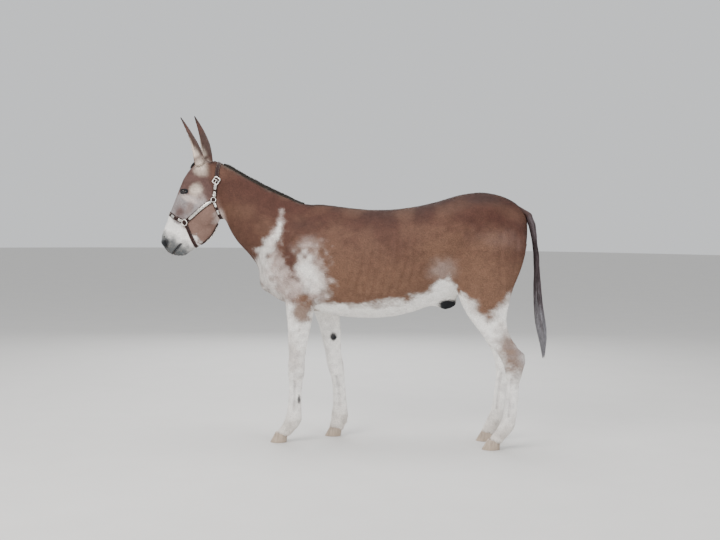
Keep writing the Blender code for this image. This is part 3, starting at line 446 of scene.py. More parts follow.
def coat_colours(points, normals, colours):
    """The whole animal's markings: brown body, pale chest and shoulder, white belly and legs, roan face; with painted
    shade on the back and lower legs and painted sheen on flank and thigh.
    """
    x, y, z = points.T
    edge = (noise(points, 0.05, 11) - 0.5) * 0.06 + (noise(points, 0.012, 12) - 0.5) * 0.03
    look = coat_base(points, normals, colours)
    for index, (spot, size, turn, side, soft, ragged, tone, strength) in enumerate(BODY_MARKS):
        mark = blob(points, spot, size, turn, side, soft, ragged, 20 + index * 2)
        look = mix(look, colours[tone], mark * strength)
    for index, (path, soft, ragged, tone, strength) in enumerate(BODY_STREAKS):
        look = mix(look, colours[tone], streak(points, path, soft, ragged, 120 + index * 2) * strength)
    # The belly is white up to a line that climbs towards the flank.
    line = np.interp(x, (-0.45, -0.12, 0.29, 0.43, 0.5, 0.545, 0.6, 0.72),
                     (0.86, 0.852, 0.882, 0.93, 0.965, 1.03, 1.0, 0.9))
    trunk = ramp(-0.48, -0.36, x) * ramp(0.8, 0.66, x)
    look = mix(look, colours["white"], ramp(0.03, -0.026, z - line + edge * 0.9) * trunk)
    inner = ramp(-0.35, -0.75, normals[:, 1] * np.sign(y)) * ramp(0.3, 0.45, x)
    look = mix(look, colours["white"], inner * ramp(1.06, 0.98, z) * 0.95)
    # The legs: white to above the knee in front, to the gaskin behind with brown left over the hock.
    fore = x < 0.2
    rear = np.interp(x, (0.48, 0.56, 0.6, 0.66, 0.73, 0.79, 0.84, 0.9, 0.97, 1.05),
                     (0.6, 0.99, 1.01, 0.935, 0.865, 0.815, 0.79, 0.845, 0.925, 0.98))
    high = np.where(fore, 0.735 + 0.1 * (y > 0), rear)
    high = high + np.where(normals[:, 1] * np.sign(y) < 0, 0.1, 0.0)
    look = mix(look, colours["white"], ramp(0.055, -0.055, z - high + edge * 1.2) * (np.abs(y) > 0.03))
    outside = ramp(-0.2, 0.35, normals[:, 1] * np.sign(y))
    forearm = blob(points, (-0.29, 0.83), (0.056, 0.092), 6, -1, 0.6, 0.8, 66) * outside
    look = mix(look, colours["tan"], forearm * 0.9)
    hock = blob(points, (0.982, 0.59), (0.072, 0.152), 16, 0, 0.65, 0.45, 60) * outside
    look = mix(look, colours["tan"], hock * 0.92)
    point = blob(points, (1.05, 0.585), (0.036, 0.08), 14, 0, 0.6, 0.5, 62)
    look = mix(look, colours["roan"], point * 0.5)
    shin = blob(points, (-0.345, 0.53), (0.048, 0.13), 4, -1, 0.7, 0.8, 64)
    look = mix(look, colours["tan"], shin * 0.42)
    # Night eyes on the inner forearms, and one small dark spot.
    for spot, side in (((-0.138, 0.64), 1), ((-0.32, 0.625), -1)):
        facing = ramp(0.1, 0.5, -normals[:, 1] * side)
        look = mix(look, colours["skin"], blob(points, spot, (0.021, 0.028), 8, side, 0.25, 0.3, 70) * facing)
    look = mix(look, colours["skin"], blob(points, (-0.312, 0.272), (0.01, 0.026), 0, -1, 0.4, 0.4, 74) * 0.9)
    # Painted shade: grey in the grooves beside tendons and joints and in soft patches on the lower legs, where shade
    # falls; and dust on the lower legs.
    hollow = ramp(0.78, 0.7, z) * ramp(0.35, 0.85, noise(points, 0.03, 76)) * 0.25
    flat = squared(points)
    for path, width, depth in FURROWS:
        if depth > 0 and max(spot[2] for spot in path) < 0.75:
            hollow = hollow + 0.45 * np.exp(-(path_distance(flat, path) / (width * 1.2)) ** 2)
    look = mix(look, colours["roan"], np.clip(hollow, 0.0, 0.6))
    look = mix(look, colours["dust"], ramp(0.3, 0.02, z) * 0.45)
    spine = ramp(0.036, 0.008, np.abs(y)) * ramp(-0.34, -0.25, x) * ramp(1.3, 1.4, z)
    look = mix(look, colours["line"], spine * 0.8)
    crest = np.interp(x, *zip(*CREST)) - z
    foot = ramp(0.045, 0.012, crest + 0.35 * edge) * ramp(-0.86, -0.82, x) * ramp(-0.3, -0.36, x)
    look = mix(look, colours["mane_foot"], foot * 0.8)
    # The sheath and the bare skin behind it.
    bare = blob(points, (0.605, 0.85), (0.075, 0.046), -12, 0, 0.3, 0.4, 80) * ramp(0.075, 0.045, np.abs(y))
    look = mix(look, colours["skin"], bare)
    bare = ramp(0.03, 0.012, np.abs(y)) * ramp(0.6, 0.7, x) * ramp(1.12, 1.02, z) * ramp(0.9, 0.8, x)
    look = mix(look, colours["skin"], bare * 0.7)
    return face_colours(points, look, colours)


def mottled(colour, points, seed):
    """One colour for each place, a little lighter and darker in turn."""
    return np.tile(colour, (len(points), 1)) * (0.85 + 0.3 * noise(points, 0.02, seed))[:, None]


def mouth_line(d, h):
    """How far each place of the side view lies along the line between the lips from its corner, and over it."""
    rel = np.stack((d - MOUTH_CORNER[0], h - MOUTH_CORNER[1]), axis=1)
    return rel @ MOUTH_RUN, rel @ np.array((-MOUTH_RUN[1], MOUTH_RUN[0]))


def face_colours(points, look, colours):
    """The head: brown forehead, cream round the eye, roan face, pinkish cheek, white muzzle and dark lips."""
    d, h, s = to_head(points).T
    on_face = head_share(points) * (d > -0.04)
    wide = np.abs(s)
    edge = (noise(points, 0.03, 90) - 0.5) * 0.05 + (noise(points, 0.008, 91) - 0.5) * 0.025
    face = mottled(colours["forehead"], points, 92)

    def patch(place, size, rough, outer, inner):
        reach = np.hypot((d - place[0]) / size[0], (h - place[1]) / size[1])
        return ramp(outer, inner, reach + edge * rough)

    # The cheek behind and below the halter's cheek strap, paler along the jaw's hind edge.
    strap = (h - RING_AT[1]) - (d - RING_AT[0]) * (JOINT[1] - RING_AT[1]) / (JOINT[0] - RING_AT[0])
    cheek = ramp(0.03, -0.015, strap + edge * 0.6) * ramp(0.1, 0.2, d + edge)
    face = mix(face, colours["cheek"], cheek)
    broken = np.clip(0.58 + 0.62 * noise(points, 0.011, 99), 0.0, 1.0)
    hind = patch((0.268, -0.262), (0.07, 0.04), 8, 1.4, 0.4)
    face = mix(face, colours["pale"], hind * 0.95 * broken)
    # The face between eye and noseband: roan, browner just over the cheek strap.
    roan = ramp(0.205, 0.25, d + edge * 0.8 - 0.35 * np.clip(h - 0.02, -0.05, 0.06)) * ramp(-0.01, 0.02, strap)
    fleck = 0.52 + 0.5 * noise(points, 0.007, 95) + 0.3 * noise(points, 0.02, 96)
    face = mix(face, colours["roan"], roan * np.clip(fleck, 0, 1))
    face = mix(face, colours["forehead"], patch((0.345, -0.006), (0.042, 0.036), 7, 1.7, 0.25) * 0.84)
    face = mix(face, colours["cheek"], patch((0.29, -0.06), (0.05, 0.026), 7, 1.4, 0.4) * 0.55)
    ridge = ramp(0.04, 0.075, h + edge) * ramp(0.24, 0.28, d) * ramp(0.4, 0.36, d)
    face = mix(face, colours["forehead"], ridge * 0.35)
    nose = d + edge * 1.1 + 0.12 * (h + 0.02) + 0.42 * np.clip(h + 0.075, -0.2, 0.0)
    face = mix(face, colours["white"], ramp(0.395, 0.435, nose) * 0.94)
    # Cream behind and under the eye.
    face = mix(face, colours["pale"], patch((0.215, -0.088), (0.052, 0.05), 8, 1.35, 0.45) * 0.34 * broken)
    face = mix(face, colours["cream"], patch((0.172, -0.056), (0.036, 0.028), 9, 1.8, 0.15) * 0.96 * broken)
    face = mix(face, colours["pale"], patch((0.243, -0.03), (0.02, 0.06), 7, 1.4, 0.45) * 0.88 * broken)
    root = np.linalg.norm(np.stack((d - 0.014, (h + 0.026) / 0.85, wide - 0.07)), axis=0) + edge * 0.5
    face = mix(face, colours["cream"], ramp(0.094, 0.012, root) * (0.55 + 0.45 * broken))
    # Dark skin: lids, nostrils, lips and the grey of the muzzle.
    # The dark oval round the eye is partly the dark skin of the lids and partly painted shadow of the lids and lashes.
    past, above = d - EYE_PLACE[0], h - EYE_PLACE[1]
    slant = past * math.cos(EYE_SLANT) + above * math.sin(EYE_SLANT)
    across = -past * math.sin(EYE_SLANT) + above * math.cos(EYE_SLANT)
    eye = np.hypot(slant / 0.031, across / 0.0175) + 0.2 * (noise(points, 0.006, 97) - 0.5)
    face = mix(face, colours["skin"], ramp(1.12, 0.86, eye) * (wide > 0.045))
    # The grey muzzle: darkest at nostrils and lips, lighter on the chin.
    place = d + edge * 0.7 + 0.15 * np.clip(h - 0.02, -0.02, 0.08)
    low = np.interp(place, (0.485, 0.505, 0.53, 0.55, 0.57), (0.0, 0.3, 0.75, 0.91, 0.99))
    low = low * (1.0 - 0.25 * ramp(-0.125, -0.165, h + edge)) * (0.97 + 0.03 * noise(points, 0.025, 98))
    face = mix(face, colours["muzzle"], low)
    hole = np.linalg.norm(np.stack(((d - 0.572) / 1.3, h - 0.006, (wide - 0.05) / 1.2)), axis=0)
    face = mix(face, colours["skin"], ramp(0.036, 0.014, hole) * 0.9)
    along, off = mouth_line(d, h)
    off = np.hypot(along - np.clip(along, 0.0, MOUTH_LENGTH * 1.3), off)
    face = mix(face, colours["skin"], ramp(0.012, 0.004, off) * (d > 0.525) * 0.8)
    return mix(look, face, on_face)


def hair_lie(points, normals):
    """The way the coat lies, along the skin."""
    x, _, z = points.T
    flow = np.array((1.0, 0.0, -0.4)) + np.array((-1.0, 0.0, -0.7)) * ramp(0.95, 0.72, z)[:, None]
    flow = mix(flow, np.array((0.62, 0.0, -0.7)), ramp(-0.35, -0.6, x))
    flow = flattened(mix(flow, ALONG - OUT * 0.25, head_share(points)), normals)
    wander = np.stack([noise(points, 0.05, seed) for seed in (31, 32, 33)], axis=1) - 0.5
    return unit(flattened(unit(flow) + wander * 0.35, normals))


# How near to a map's edge a hair's place may come, and the size of its patch there.
MAP_EDGE = 0.004
MAP_PATCH = 0.003


def surface_samples(mesh, count, weigh, rng):
    """Random places on a mesh, as many on each face as its area times its weight asks for."""
    mesh.calc_loop_triangles()
    tris = np.empty(len(mesh.loop_triangles) * 3, dtype=np.int64)
    mesh.loop_triangles.foreach_get("vertices", tris)
    tris = tris.reshape(-1, 3)
    points, normals = points_of(mesh), normals_of(mesh)
    a, b, c = points[tris[:, 0]], points[tris[:, 1]], points[tris[:, 2]]
    area = np.linalg.norm(np.cross(b - a, c - a), axis=1) / 2
    share = area * weigh((a + b + c) / 3, unit(np.cross(b - a, c - a)))
    edges = np.cumsum(share)
    spots = np.searchsorted(edges, (np.arange(count) + rng.random(count)) / count * edges[-1])
    spots = np.minimum(spots, len(tris) - 1)
    u, v = rng.random(count), rng.random(count)
    flip = u + v > 1
    u, v = np.where(flip, 1 - u, u), np.where(flip, 1 - v, v)
    w = 1 - u - v
    place = a[spots] * w[:, None] + b[spots] * u[:, None] + c[spots] * v[:, None]
    near = normals[tris[spots]]
    return place, unit(near[:, 0] * w[:, None] + near[:, 1] * u[:, None] + near[:, 2] * v[:, None])


def unwrap_places(points, part):
    """Where places fall on the map of a part of the coat: the turn across, the way along up the map."""
    centre, axis, side, start, length = COAT_MAPS[part]
    axis, side = straight(np.array(axis)), np.array(side)
    side = straight(side - axis * (side @ axis))
    rel = points - centre
    turn = np.arctan2(rel @ np.cross(axis, side), rel @ side) / math.tau + 0.5
    return np.clip(np.stack((turn, (rel @ axis - start) / length), axis=1), MAP_EDGE, 1 - MAP_EDGE)


def blades(name, roots, ways, normals, lengths, widths, colours, uvs, bends=None, segments=2, tips=None):
    """Flat tapered hairs: each leaves its root along its way, bends, and is drawn to a point."""
    count = len(roots)
    across = unit(np.cross(ways, normals))
    rows = []
    for step in range(segments):
        part = step / segments
        middle = roots + ways * (lengths * part)[:, None]
        if bends is not None:
            middle = middle + bends * (part ** 2)
        half = across * (widths / 2 * (1.0 - 0.55 * part ** 1.5))[:, None]
        rows += [middle - half, middle + half]
    tip = roots + ways * lengths[:, None]
    if bends is not None:
        tip = tip + bends
    rows.append(tip)
    per = len(rows)
    verts = np.stack(rows, axis=1).reshape(-1, 3)
    base = (np.arange(count) * per)[:, None]
    quads = np.concatenate([base + np.array((2 * s, 2 * s + 1, 2 * s + 3, 2 * s + 2)) for s in range(segments - 1)])
    tris = base + np.array((2 * segments - 2, 2 * segments - 1, 2 * segments))
    mesh = fast_mesh(name, verts, quads.reshape(-1, 4), tris)
    shade = np.repeat(colours, per, axis=0)
    if tips is not None:
        part = np.tile(np.array([s // 2 / segments for s in range(2 * segments)] + [1.0]), count)
        shade = mix(shade, np.repeat(tips, per, axis=0), part ** 1.5)
    paint(mesh, shade)
    patch = np.zeros((per, 2))
    for row in range(per - 1):
        patch[row] = (row % 2 - 0.5, (row // 2) / segments - 0.5)
    patch[-1] = (0.0, 0.5)
    write_map(mesh, np.repeat(uvs, per, axis=0) + np.tile(patch * MAP_PATCH, (count, 1)))
    return make_object(name, mesh)


# Materials.

class Graph:
    """Short words for building a material's nodes."""

    def __init__(self, name):
        self.material = bpy.data.materials.new(name)
        self.material.use_nodes = True
        self.nodes = self.material.node_tree.nodes
        self.links = self.material.node_tree.links
        self.shader = self.nodes["Principled BSDF"]

    def node(self, kind, **values):
        item = self.nodes.new(kind)
        for key, value in values.items():
            if hasattr(item, key):
                setattr(item, key, value)
            else:
                item.inputs[key.replace("_", " ").title()].default_value = value
        return item

    def join(self, source, target):
        self.links.new(source, target)

    def place(self, scale=(1.0, 1.0, 1.0)):
        spot = self.node("ShaderNodeTexCoord")
        stretch = self.node("ShaderNodeMapping", Scale=scale)
        self.join(spot.outputs["Object"], stretch.inputs["Vector"])
        return stretch.outputs["Vector"]

    def noise(self, scale, detail=3.0, stretch=(1.0, 1.0, 1.0)):
        item = self.node("ShaderNodeTexNoise", Scale=scale, Detail=detail, Roughness=0.55)
        self.join(self.place(stretch), item.inputs["Vector"])
        return item.outputs["Fac"]

    def ramp(self, source, *stops):
        item = self.node("ShaderNodeValToRGB")
        ends = item.color_ramp.elements
        while len(ends) < len(stops):
            ends.new(0.5)
        for end, (place, colour) in zip(ends, stops):
            end.position = place
            end.color = (*colour, 1.0) if hasattr(colour, "__len__") else (colour, colour, colour, 1.0)
        self.join(source, item.inputs["Fac"])
        return item.outputs["Color"]

    def blend(self, way, part, one, two):
        item = self.node("ShaderNodeMix", data_type="RGBA", blend_type=way)
        for slot, value in ((0, part), (6, one), (7, two)):
            if isinstance(value, bpy.types.NodeSocket):
                self.join(value, item.inputs[slot])
            else:
                item.inputs[slot].default_value = (*value, 1.0) if slot else value
        return item.outputs[2]

    def times(self, one, two):
        return self.blend("MULTIPLY", 1.0, one, two)

    def painted(self, layer="coat_colour"):
        return self.node("ShaderNodeAttribute", attribute_name=layer).outputs["Color"]

    def bump(self, height, strength, distance):
        item = self.node("ShaderNodeBump", Strength=strength, Distance=distance)
        self.join(height, item.inputs["Height"])
        self.join(item.outputs["Normal"], self.shader.inputs["Normal"])

    def colour(self, source):
        self.join(source, self.shader.inputs["Base Color"])

    def set(self, **values):
        for key, value in values.items():
            self.shader.inputs[key.replace("_", " ")].default_value = value


def shaded(colour, share):
    """A colour made lighter or darker."""
    return tuple(channel * share for channel in colour)


def coat_material(name, strength=0.5, rough=0.7):
    """Painted coat colour, broken up by fine hair grain and roan flecks."""
    graph = Graph(name)
    grain = graph.ramp(graph.noise(420.0, 2.0, (0.35, 1.0, 0.7)), (0.3, 0.72), (0.7, 1.22))
    cloud = graph.ramp(graph.noise(26.0, 4.0), (0.3, 0.88), (0.72, 1.1))
    graph.colour(graph.times(graph.times(graph.painted(), grain), cloud))
    graph.bump(graph.noise(650.0, 3.0, (0.25, 1.0, 0.55)), strength, 0.0012)
    graph.set(Roughness=rough, Specular_IOR_Level=0.18)
    return graph.material


# The skin.

# How far the right legs stand behind the left ones, by height.
FORE_STRIDE = ((0.0, 0.3), (0.07, 0.285), (0.14, 0.252), (0.31, 0.238), (0.46, 0.203), (0.56, 0.18),
               (0.71, 0.15), (0.9, 0.085), (1.1, 0.0))
HIND_STRIDE = ((0.0, -0.045), (0.07, -0.055), (0.14, -0.075), (0.31, -0.074), (0.55, -0.055), (0.62, -0.038),
               (0.7, -0.02), (0.9, 0.0))
# Furrows of the body on its left side: path, half-width, depth (a ridge where negative).
FURROWS = (
    (((-0.815, -0.075, 1.4), (-0.72, -0.105, 1.26), (-0.61, -0.135, 1.12)), 0.016, 0.004),
    (((-0.34, -0.1, 1.44), (-0.47, -0.16, 1.22), (-0.53, -0.15, 1.06)), 0.022, 0.005),
    (((-0.28, -0.11, 1.41), (-0.4, -0.17, 1.2), (-0.45, -0.18, 1.08)), 0.02, -0.004),
    (((-0.2, -0.15, 1.38), (-0.2, -0.205, 1.15), (-0.225, -0.19, 0.94)), 0.024, 0.006),
    (((-0.42, -0.19, 1.02), (-0.33, -0.2, 0.93), (-0.26, -0.19, 0.9)), 0.018, 0.003),
    (((-0.545, -0.005, 1.12), (-0.56, -0.005, 1.0), (-0.5, -0.005, 0.9)), 0.014, 0.008),
    (((0.46, -0.22, 1.18), (0.52, -0.205, 1.04), (0.6, -0.185, 0.93)), 0.02, 0.006),
    (((0.53, -0.21, 1.37), (0.56, -0.215, 1.3)), 0.05, 0.007),
    (((0.93, -0.19, 1.38), (0.905, -0.2, 1.15), (0.925, -0.19, 0.98)), 0.016, 0.0045),
    (((1.005, -0.16, 1.33), (0.995, -0.16, 1.13), (0.955, -0.15, 0.98)), 0.013, 0.0035),
    (((0.7, -0.205, 1.1), (0.76, -0.205, 0.98), (0.84, -0.185, 0.86)), 0.016, 0.003),
    (((0.925, -0.185, 0.83), (0.945, -0.172, 0.73), (1.005, -0.165, 0.64)), 0.011, 0.008),
    (((0.925, -0.1, 0.83), (0.945, -0.105, 0.73), (1.005, -0.11, 0.64)), 0.011, 0.006),
    (((0.985, -0.168, 0.43), (0.98, -0.162, 0.3), (0.972, -0.16, 0.21)), 0.007, 0.0062),
    (((0.985, -0.105, 0.43), (0.98, -0.108, 0.3), (0.972, -0.11, 0.21)), 0.007, 0.0062),
    (((0.95, -0.17, 0.56), (0.985, -0.172, 0.515)), 0.014, -0.0035),
    (((1.055, -0.135, 0.61), (1.05, -0.135, 0.52)), 0.01, -0.003),
    (((-0.338, -0.158, 0.385), (-0.336, -0.155, 0.29), (-0.342, -0.157, 0.2)), 0.007, 0.0062),
    (((-0.338, -0.105, 0.385), (-0.336, -0.108, 0.29), (-0.342, -0.107, 0.2)), 0.007, 0.0062),
    (((-0.345, -0.19, 0.82), (-0.33, -0.18, 0.7), (-0.325, -0.172, 0.58)), 0.012, 0.0035),
    (((-0.392, -0.165, 0.5), (-0.392, -0.1, 0.5)), 0.012, -0.0038),
    (((-0.392, -0.165, 0.415), (-0.392, -0.1, 0.415)), 0.012, -0.0038),
    (((-0.35, -0.168, 0.505), (-0.35, -0.166, 0.42)), 0.014, -0.0038),
    (((-0.3, -0.15, 0.52), (-0.292, -0.14, 0.47)), 0.012, -0.004),
    (((-0.33, -0.168, 0.18), (-0.31, -0.16, 0.15)), 0.014, -0.0036),
    (((0.97, -0.168, 0.18), (0.99, -0.16, 0.15)), 0.014, -0.0036),
)
RIBS = 9
# Furrows and ridges of the face: path in distance along the head, height over its axis and side.
FACE_FURROWS = (
    (((0.29, 0.0, 0.082), (0.35, 0.002, 0.075), (0.41, 0.005, 0.062)), 0.007, -0.004),
    (((0.3, -0.022, 0.08), (0.38, -0.018, 0.068)), 0.011, 0.004),
    (((0.18, 0.055, 0.06), (0.215, 0.06, 0.058)), 0.016, 0.005),
    (((0.3, 0.06, 0.04), (0.42, 0.064, 0.03), (0.5, 0.062, 0.026)), 0.01, 0.0022),
    (((0.33, -0.06, 0.07), (0.4, -0.07, 0.058), (0.47, -0.05, 0.05)), 0.0045, -0.0018),
    (((0.4, -0.07, 0.058), (0.44, -0.02, 0.055), (0.5, 0.02, 0.048)), 0.0035, -0.0015),
    (((0.2, -0.18, 0.05), (0.29, -0.235, 0.05), (0.37, -0.245, 0.045)), 0.012, -0.003),
    (((0.15, -0.11, 0.08), (0.18, -0.165, 0.07), (0.23, -0.21, 0.06)), 0.014, 0.0035),
    (((0.5, -0.075, 0.052), (0.53, -0.092, 0.048)), 0.01, 0.0025),
)
MOUTH_CORNER = (0.53, -0.09)
MOUTH_FRONT = (0.64, -0.052)
MOUTH_LENGTH = math.dist(MOUTH_CORNER, MOUTH_FRONT)
MOUTH_RUN = straight(np.subtract(MOUTH_FRONT, MOUTH_CORNER))
EYE_SLANT = math.radians(64)
SLIT_HALF = 0.0205
UPPER_LID = 0.0112
LOWER_LID = 0.0088
NOSTRIL_PATH = ((0.545, 0.03, 0.046), (0.562, 0.018, 0.056), (0.58, 0.0, 0.054), (0.586, -0.012, 0.046))


def squared(points):
    """Places as if the right legs stood level with the left ones, mirrored to the left side."""
    x, y, z = points.T
    fore = np.interp(z, *zip(*FORE_STRIDE))
    hind = np.interp(z, *zip(*HIND_STRIDE))
    moved = x - np.where(x < 0.35, fore, hind) * (y > 0)
    return np.stack((moved, -np.abs(y), z), axis=1)


def flesh_firmness(points):
    """How much of its shape each place keeps while the skin is evened out."""
    x, y, z = points.T
    on_leg = ramp(0.04, 0.07, np.abs(y)) * ramp(0.24, 0.32, np.abs(x - 0.22))
    legs = ramp(0.98, 0.82, z) * on_leg * 0.93
    lower = ramp(0.74, 0.68, z) * 0.97
    head = ramp(-0.82, -0.92, x) * 0.95
    return np.maximum(np.maximum(legs, lower), head)


def furrow(points, normals, path, width, depth, facing=None):
    part = np.exp(-(path_distance(points, path) / width) ** 2)
    if facing is not None:
        part = part * facing
    return -normals * (depth * part)[:, None]


def sculpt_body(mesh):
    """Press the furrows and ridges of muscle, tendon, bone and rib into the skin."""
    points, normals = points_of(mesh), normals_of(mesh)
    flat = squared(points)
    sides = normals * np.where(points[:, 1:2] > 0, (1, -1, 1), (1, 1, 1))
    moved = np.zeros_like(points)
    for path, width, depth in FURROWS:
        moved += furrow(flat, normals, path, width, depth)
    for rib in range(RIBS):
        start = 0.015 + 0.052 * rib
        path = ((start, -0.225, 1.33), (start + 0.01, -0.255, 1.15), (start - 0.045, -0.225, 0.93))
        moved += furrow(flat, normals, path, 0.015, -0.0022, ramp(0.2, 0.6, -sides[:, 1]))
    set_points(mesh, points + moved)


def sculpt_head(mesh):
    """Shape lids, face ridges, nostrils and lips."""
    points, normals = points_of(mesh), normals_of(mesh)
    local = to_head(points)
    flat = np.stack((local[:, 0], local[:, 1], np.abs(local[:, 2])), axis=1)
    moved = np.zeros_like(points)
    on_face = ramp(0.02, 0.06, local[:, 0]) * ramp(-0.78, -0.84, points[:, 0])
    for path, width, depth in FACE_FURROWS:
        moved += furrow(flat, normals, path, width, depth, on_face)
    # The mouth's line, with the lips rolling out above and below it.
    along, off = mouth_line(local[:, 0], local[:, 1])
    line = ramp(-0.006, 0.01, along) * (local[:, 0] > 0.45)
    moved -= normals * (0.005 * np.exp(-(off / 0.0026) ** 2) * line)[:, None]
    moved += normals * (0.0022 * np.exp(-((np.abs(off) - 0.0095) / 0.005) ** 2) * line)[:, None]
    # Nostrils: a comma-shaped pit with a raised outer rim.
    reach, outer = path_distance(flat, NOSTRIL_PATH), flat[:, 2] > 0.024
    pit = ramp(0.011, 0.005, reach) * outer
    rim = np.exp(-((reach - 0.014) / 0.004) ** 2) * outer
    inward = -ALONG * 0.55 - OUT * 0.15 - SIDE * np.sign(local[:, 2:3]) * 0.8
    moved += inward * (0.015 * pit)[:, None] + normals * (0.003 * rim)[:, None]
    points = points + moved
    for _, sign in SIDES:
        points = shape_lids(points, sign)
    set_points(mesh, points)


def eye_frame(sign):
    """Centre of an eye, and its directions: along the slit to the inner corner, up over it, and outward."""
    slit = ALONG * math.cos(EYE_SLANT) + OUT * math.sin(EYE_SLANT)
    over = -ALONG * math.sin(EYE_SLANT) + OUT * math.cos(EYE_SLANT)
    return on_head(*mirrored(EYE_PLACE, sign)), slit, over, SIDE * sign


def lid_margin(a, b):
    """Distance outside the eye's opening, negative inside it."""
    part = np.clip(np.abs(a) / SLIT_HALF, 0.0, 1.0)
    edge = np.where(b >= 0, UPPER_LID, LOWER_LID) * (1.0 - part ** 2.2)
    past = np.maximum(np.abs(a) - SLIT_HALF, 0.0)
    return np.where(past > 0, np.hypot(past, b), np.abs(b) - edge)


def shape_lids(points, sign):
    centre, slit, over, outward = eye_frame(sign)
    rel = points - centre
    reach = np.linalg.norm(rel, axis=1)
    near = (reach < 0.06) & (rel @ outward > -0.012)
    rel, reach = rel[near], reach[near]
    a, b, c = rel @ slit, rel @ over, rel @ outward
    margin = lid_margin(a, b)
    lid = EYE_RADIUS + 0.0014 + 0.0022 * ramp(0.0, 0.003, margin)
    fold = 0.002 * np.exp(-((margin - 0.0078) / 0.002) ** 2) * ramp(-0.002, 0.004, b)
    under = 0.0012 * np.exp(-((margin - 0.0085) / 0.0022) ** 2) * ramp(0.002, -0.004, b)
    lid = lid - fold - under
    outer = ramp(0.0075, 0.023, margin)
    target = lid * (1 - outer) + reach * outer
    hidden = EYE_RADIUS - 0.0035
    target = np.where(margin < 0, np.maximum(hidden, lid + margin * 4.0), target)
    target = np.where(c < 0, reach, target)
    moved = points.copy()
    moved[near] = centre + rel / reach[:, None] * target[:, None]
    return moved


EAR_YAW = math.radians(10)
EAR_WIDTH = 0.088
EAR_WALL = 0.0046
# How far the ear's skin lies inside the size given in the table, and the least half size that it keeps.
EAR_INSET = 0.0012
# Place from root to tip, half-width, depth, half the opening's angle in degrees.
EAR_ROWS = (
    (0.0, 0.034, 0.035, 14), (0.1, 0.036, 0.036, 24), (0.2, 0.04, 0.034, 44), (0.32, EAR_WIDTH / 2, 0.03, 62),
    (0.45, EAR_WIDTH / 2, 0.025, 72), (0.58, 0.037, 0.019, 76), (0.7, 0.03, 0.015, 78), (0.81, 0.022, 0.011, 76),
    (0.9, 0.014, 0.008, 70), (0.96, 0.008, 0.005, 64), (1.0, 0.003, 0.003, 58),
)
# Root and tip of the left and the right ear, in the head's directions.
EARS = {-1: ((0.022, -0.012, 0.058), (-0.196, 0.222, 0.082)), 1: ((0.022, -0.014, 0.058), (-0.224, 0.206, 0.082))}


def ear_frame(sign):
    """Root, tip, and the way an ear opens and spreads."""
    root, end = (on_head(*mirrored(spot, sign)) for spot in EARS[sign])
    rise = straight(end - root)
    opens = OUT * math.cos(EAR_YAW) + SIDE * sign * math.sin(EAR_YAW)
    opens = straight(opens - rise * (opens @ rise))
    return root, end, rise, opens, np.cross(rise, opens)


def ear_size(parts, column):
    """A column of EAR_ROWS at places from root to tip."""
    table = np.array(EAR_ROWS)
    return np.interp(parts, table[:, 0], table[:, column])


def ear_gap(parts):
    """Half the angle that an ear's opening takes up, from root to tip."""
    return np.radians(ear_size(parts, 3))


def ear_places(sign, parts, angles, inset):
    """Places on an ear by row (0 root to 1 tip) and angle round it from the middle of its opening."""
    root, end, rise, opens, across = ear_frame(sign)
    half, depth = (np.maximum(ear_size(parts, column) - inset, EAR_INSET) for column in (1, 2))
    bend = (opens * -0.016 + SIDE * sign * 0.014) * np.sin(math.pi * parts)[..., None]
    middle = root + rise * (np.linalg.norm(end - root) * parts)[..., None] + bend
    return middle + opens * (np.cos(angles) * depth)[..., None] + across * (np.sin(angles) * half)[..., None]


def ear_mesh(sign):
    """One ear as a closed cupped leaf of fine rows."""
    rows, arc = 46, 26
    parts = np.linspace(0.0, 1.0, rows) ** 0.92
    gap = ear_gap(parts)
    steps = np.linspace(0.0, 1.0, arc)
    angles = gap[:, None] + (math.tau - 2 * gap[:, None]) * steps
    spread = np.repeat(parts[:, None], arc, axis=1)
    thick = np.minimum(EAR_WALL, 0.42 * ear_size(spread, 2))
    rim = np.minimum(steps, 1 - steps)
    thick = thick * (0.55 + 0.45 * ramp(0.0, 0.12, rim))
    outer = ear_places(sign, spread, angles, EAR_INSET)
    inner = ear_places(sign, spread, angles, EAR_INSET + thick)
    ring = np.concatenate((outer, inner[:, ::-1]), axis=1)
    count = arc * 2
    caps = []
    for start in (0, (rows - 1) * count):
        for step in range(arc - 1):
            caps.append((start + step, start + step + 1, start + count - 2 - step, start + count - 1 - step))
    mesh = fast_mesh("ear", ring.reshape(-1, 3), np.concatenate((tube_faces(rows, count), np.array(caps))), NO_TRIS)
    with editing(mesh) as work:
        bmesh.ops.recalc_face_normals(work, faces=work.faces)
        if work.calc_volume(signed=True) < 0:
            bmesh.ops.reverse_faces(work, faces=work.faces)
    return make_object("ear", mesh)


def ear_part(points):
    """For each place: how far up an ear it is (below 0 off the ears), and the ear's opening direction there."""
    best = np.full(len(points), -1.0)
    opens_at = np.zeros_like(points)
    for sign in (-1, 1):
        root, end, rise, opens, _ = ear_frame(sign)
        rel = points - root
        part = (rel @ rise) / np.linalg.norm(end - root)
        off = np.linalg.norm(rel - rise * (rel @ rise)[:, None], axis=1)
        on_ear = (part > 0.13) & (off < 0.062) & (part < 1.1) & (points[:, 2] > 1.715)
        best = np.where(on_ear, part, best)
        opens_at[on_ear] = opens
    return best, opens_at


def ear_colours(points, normals, look, colours):
    """Ears: brown backs with dark edges and near-black tips, cream inside and at the root in front."""
    part, opens = ear_part(points)
    front = np.einsum("ij,ij->i", normals, opens)
    ear = mottled(colours["ear"], points, 130)
    inside = ramp(-0.15, 0.35, front)
    ear = mix(ear, colours["cream"], inside * ramp(0.66, 0.34, part) * 0.95)
    ear = mix(ear, colours["cream"], ramp(0.42, 0.16, part) * ramp(-0.9, -0.2, front) * 0.85)
    ear = mix(ear, colours["dark"], ramp(0.5, 0.8, part + 0.1 * (noise(points, 0.02, 131) - 0.5)) * 0.7)
    ear = mix(ear, colours["line"], ramp(0.76, 0.97, part) * 0.9)
    return mix(look, ear, (part > 0) * ramp(0.13, 0.2, part))


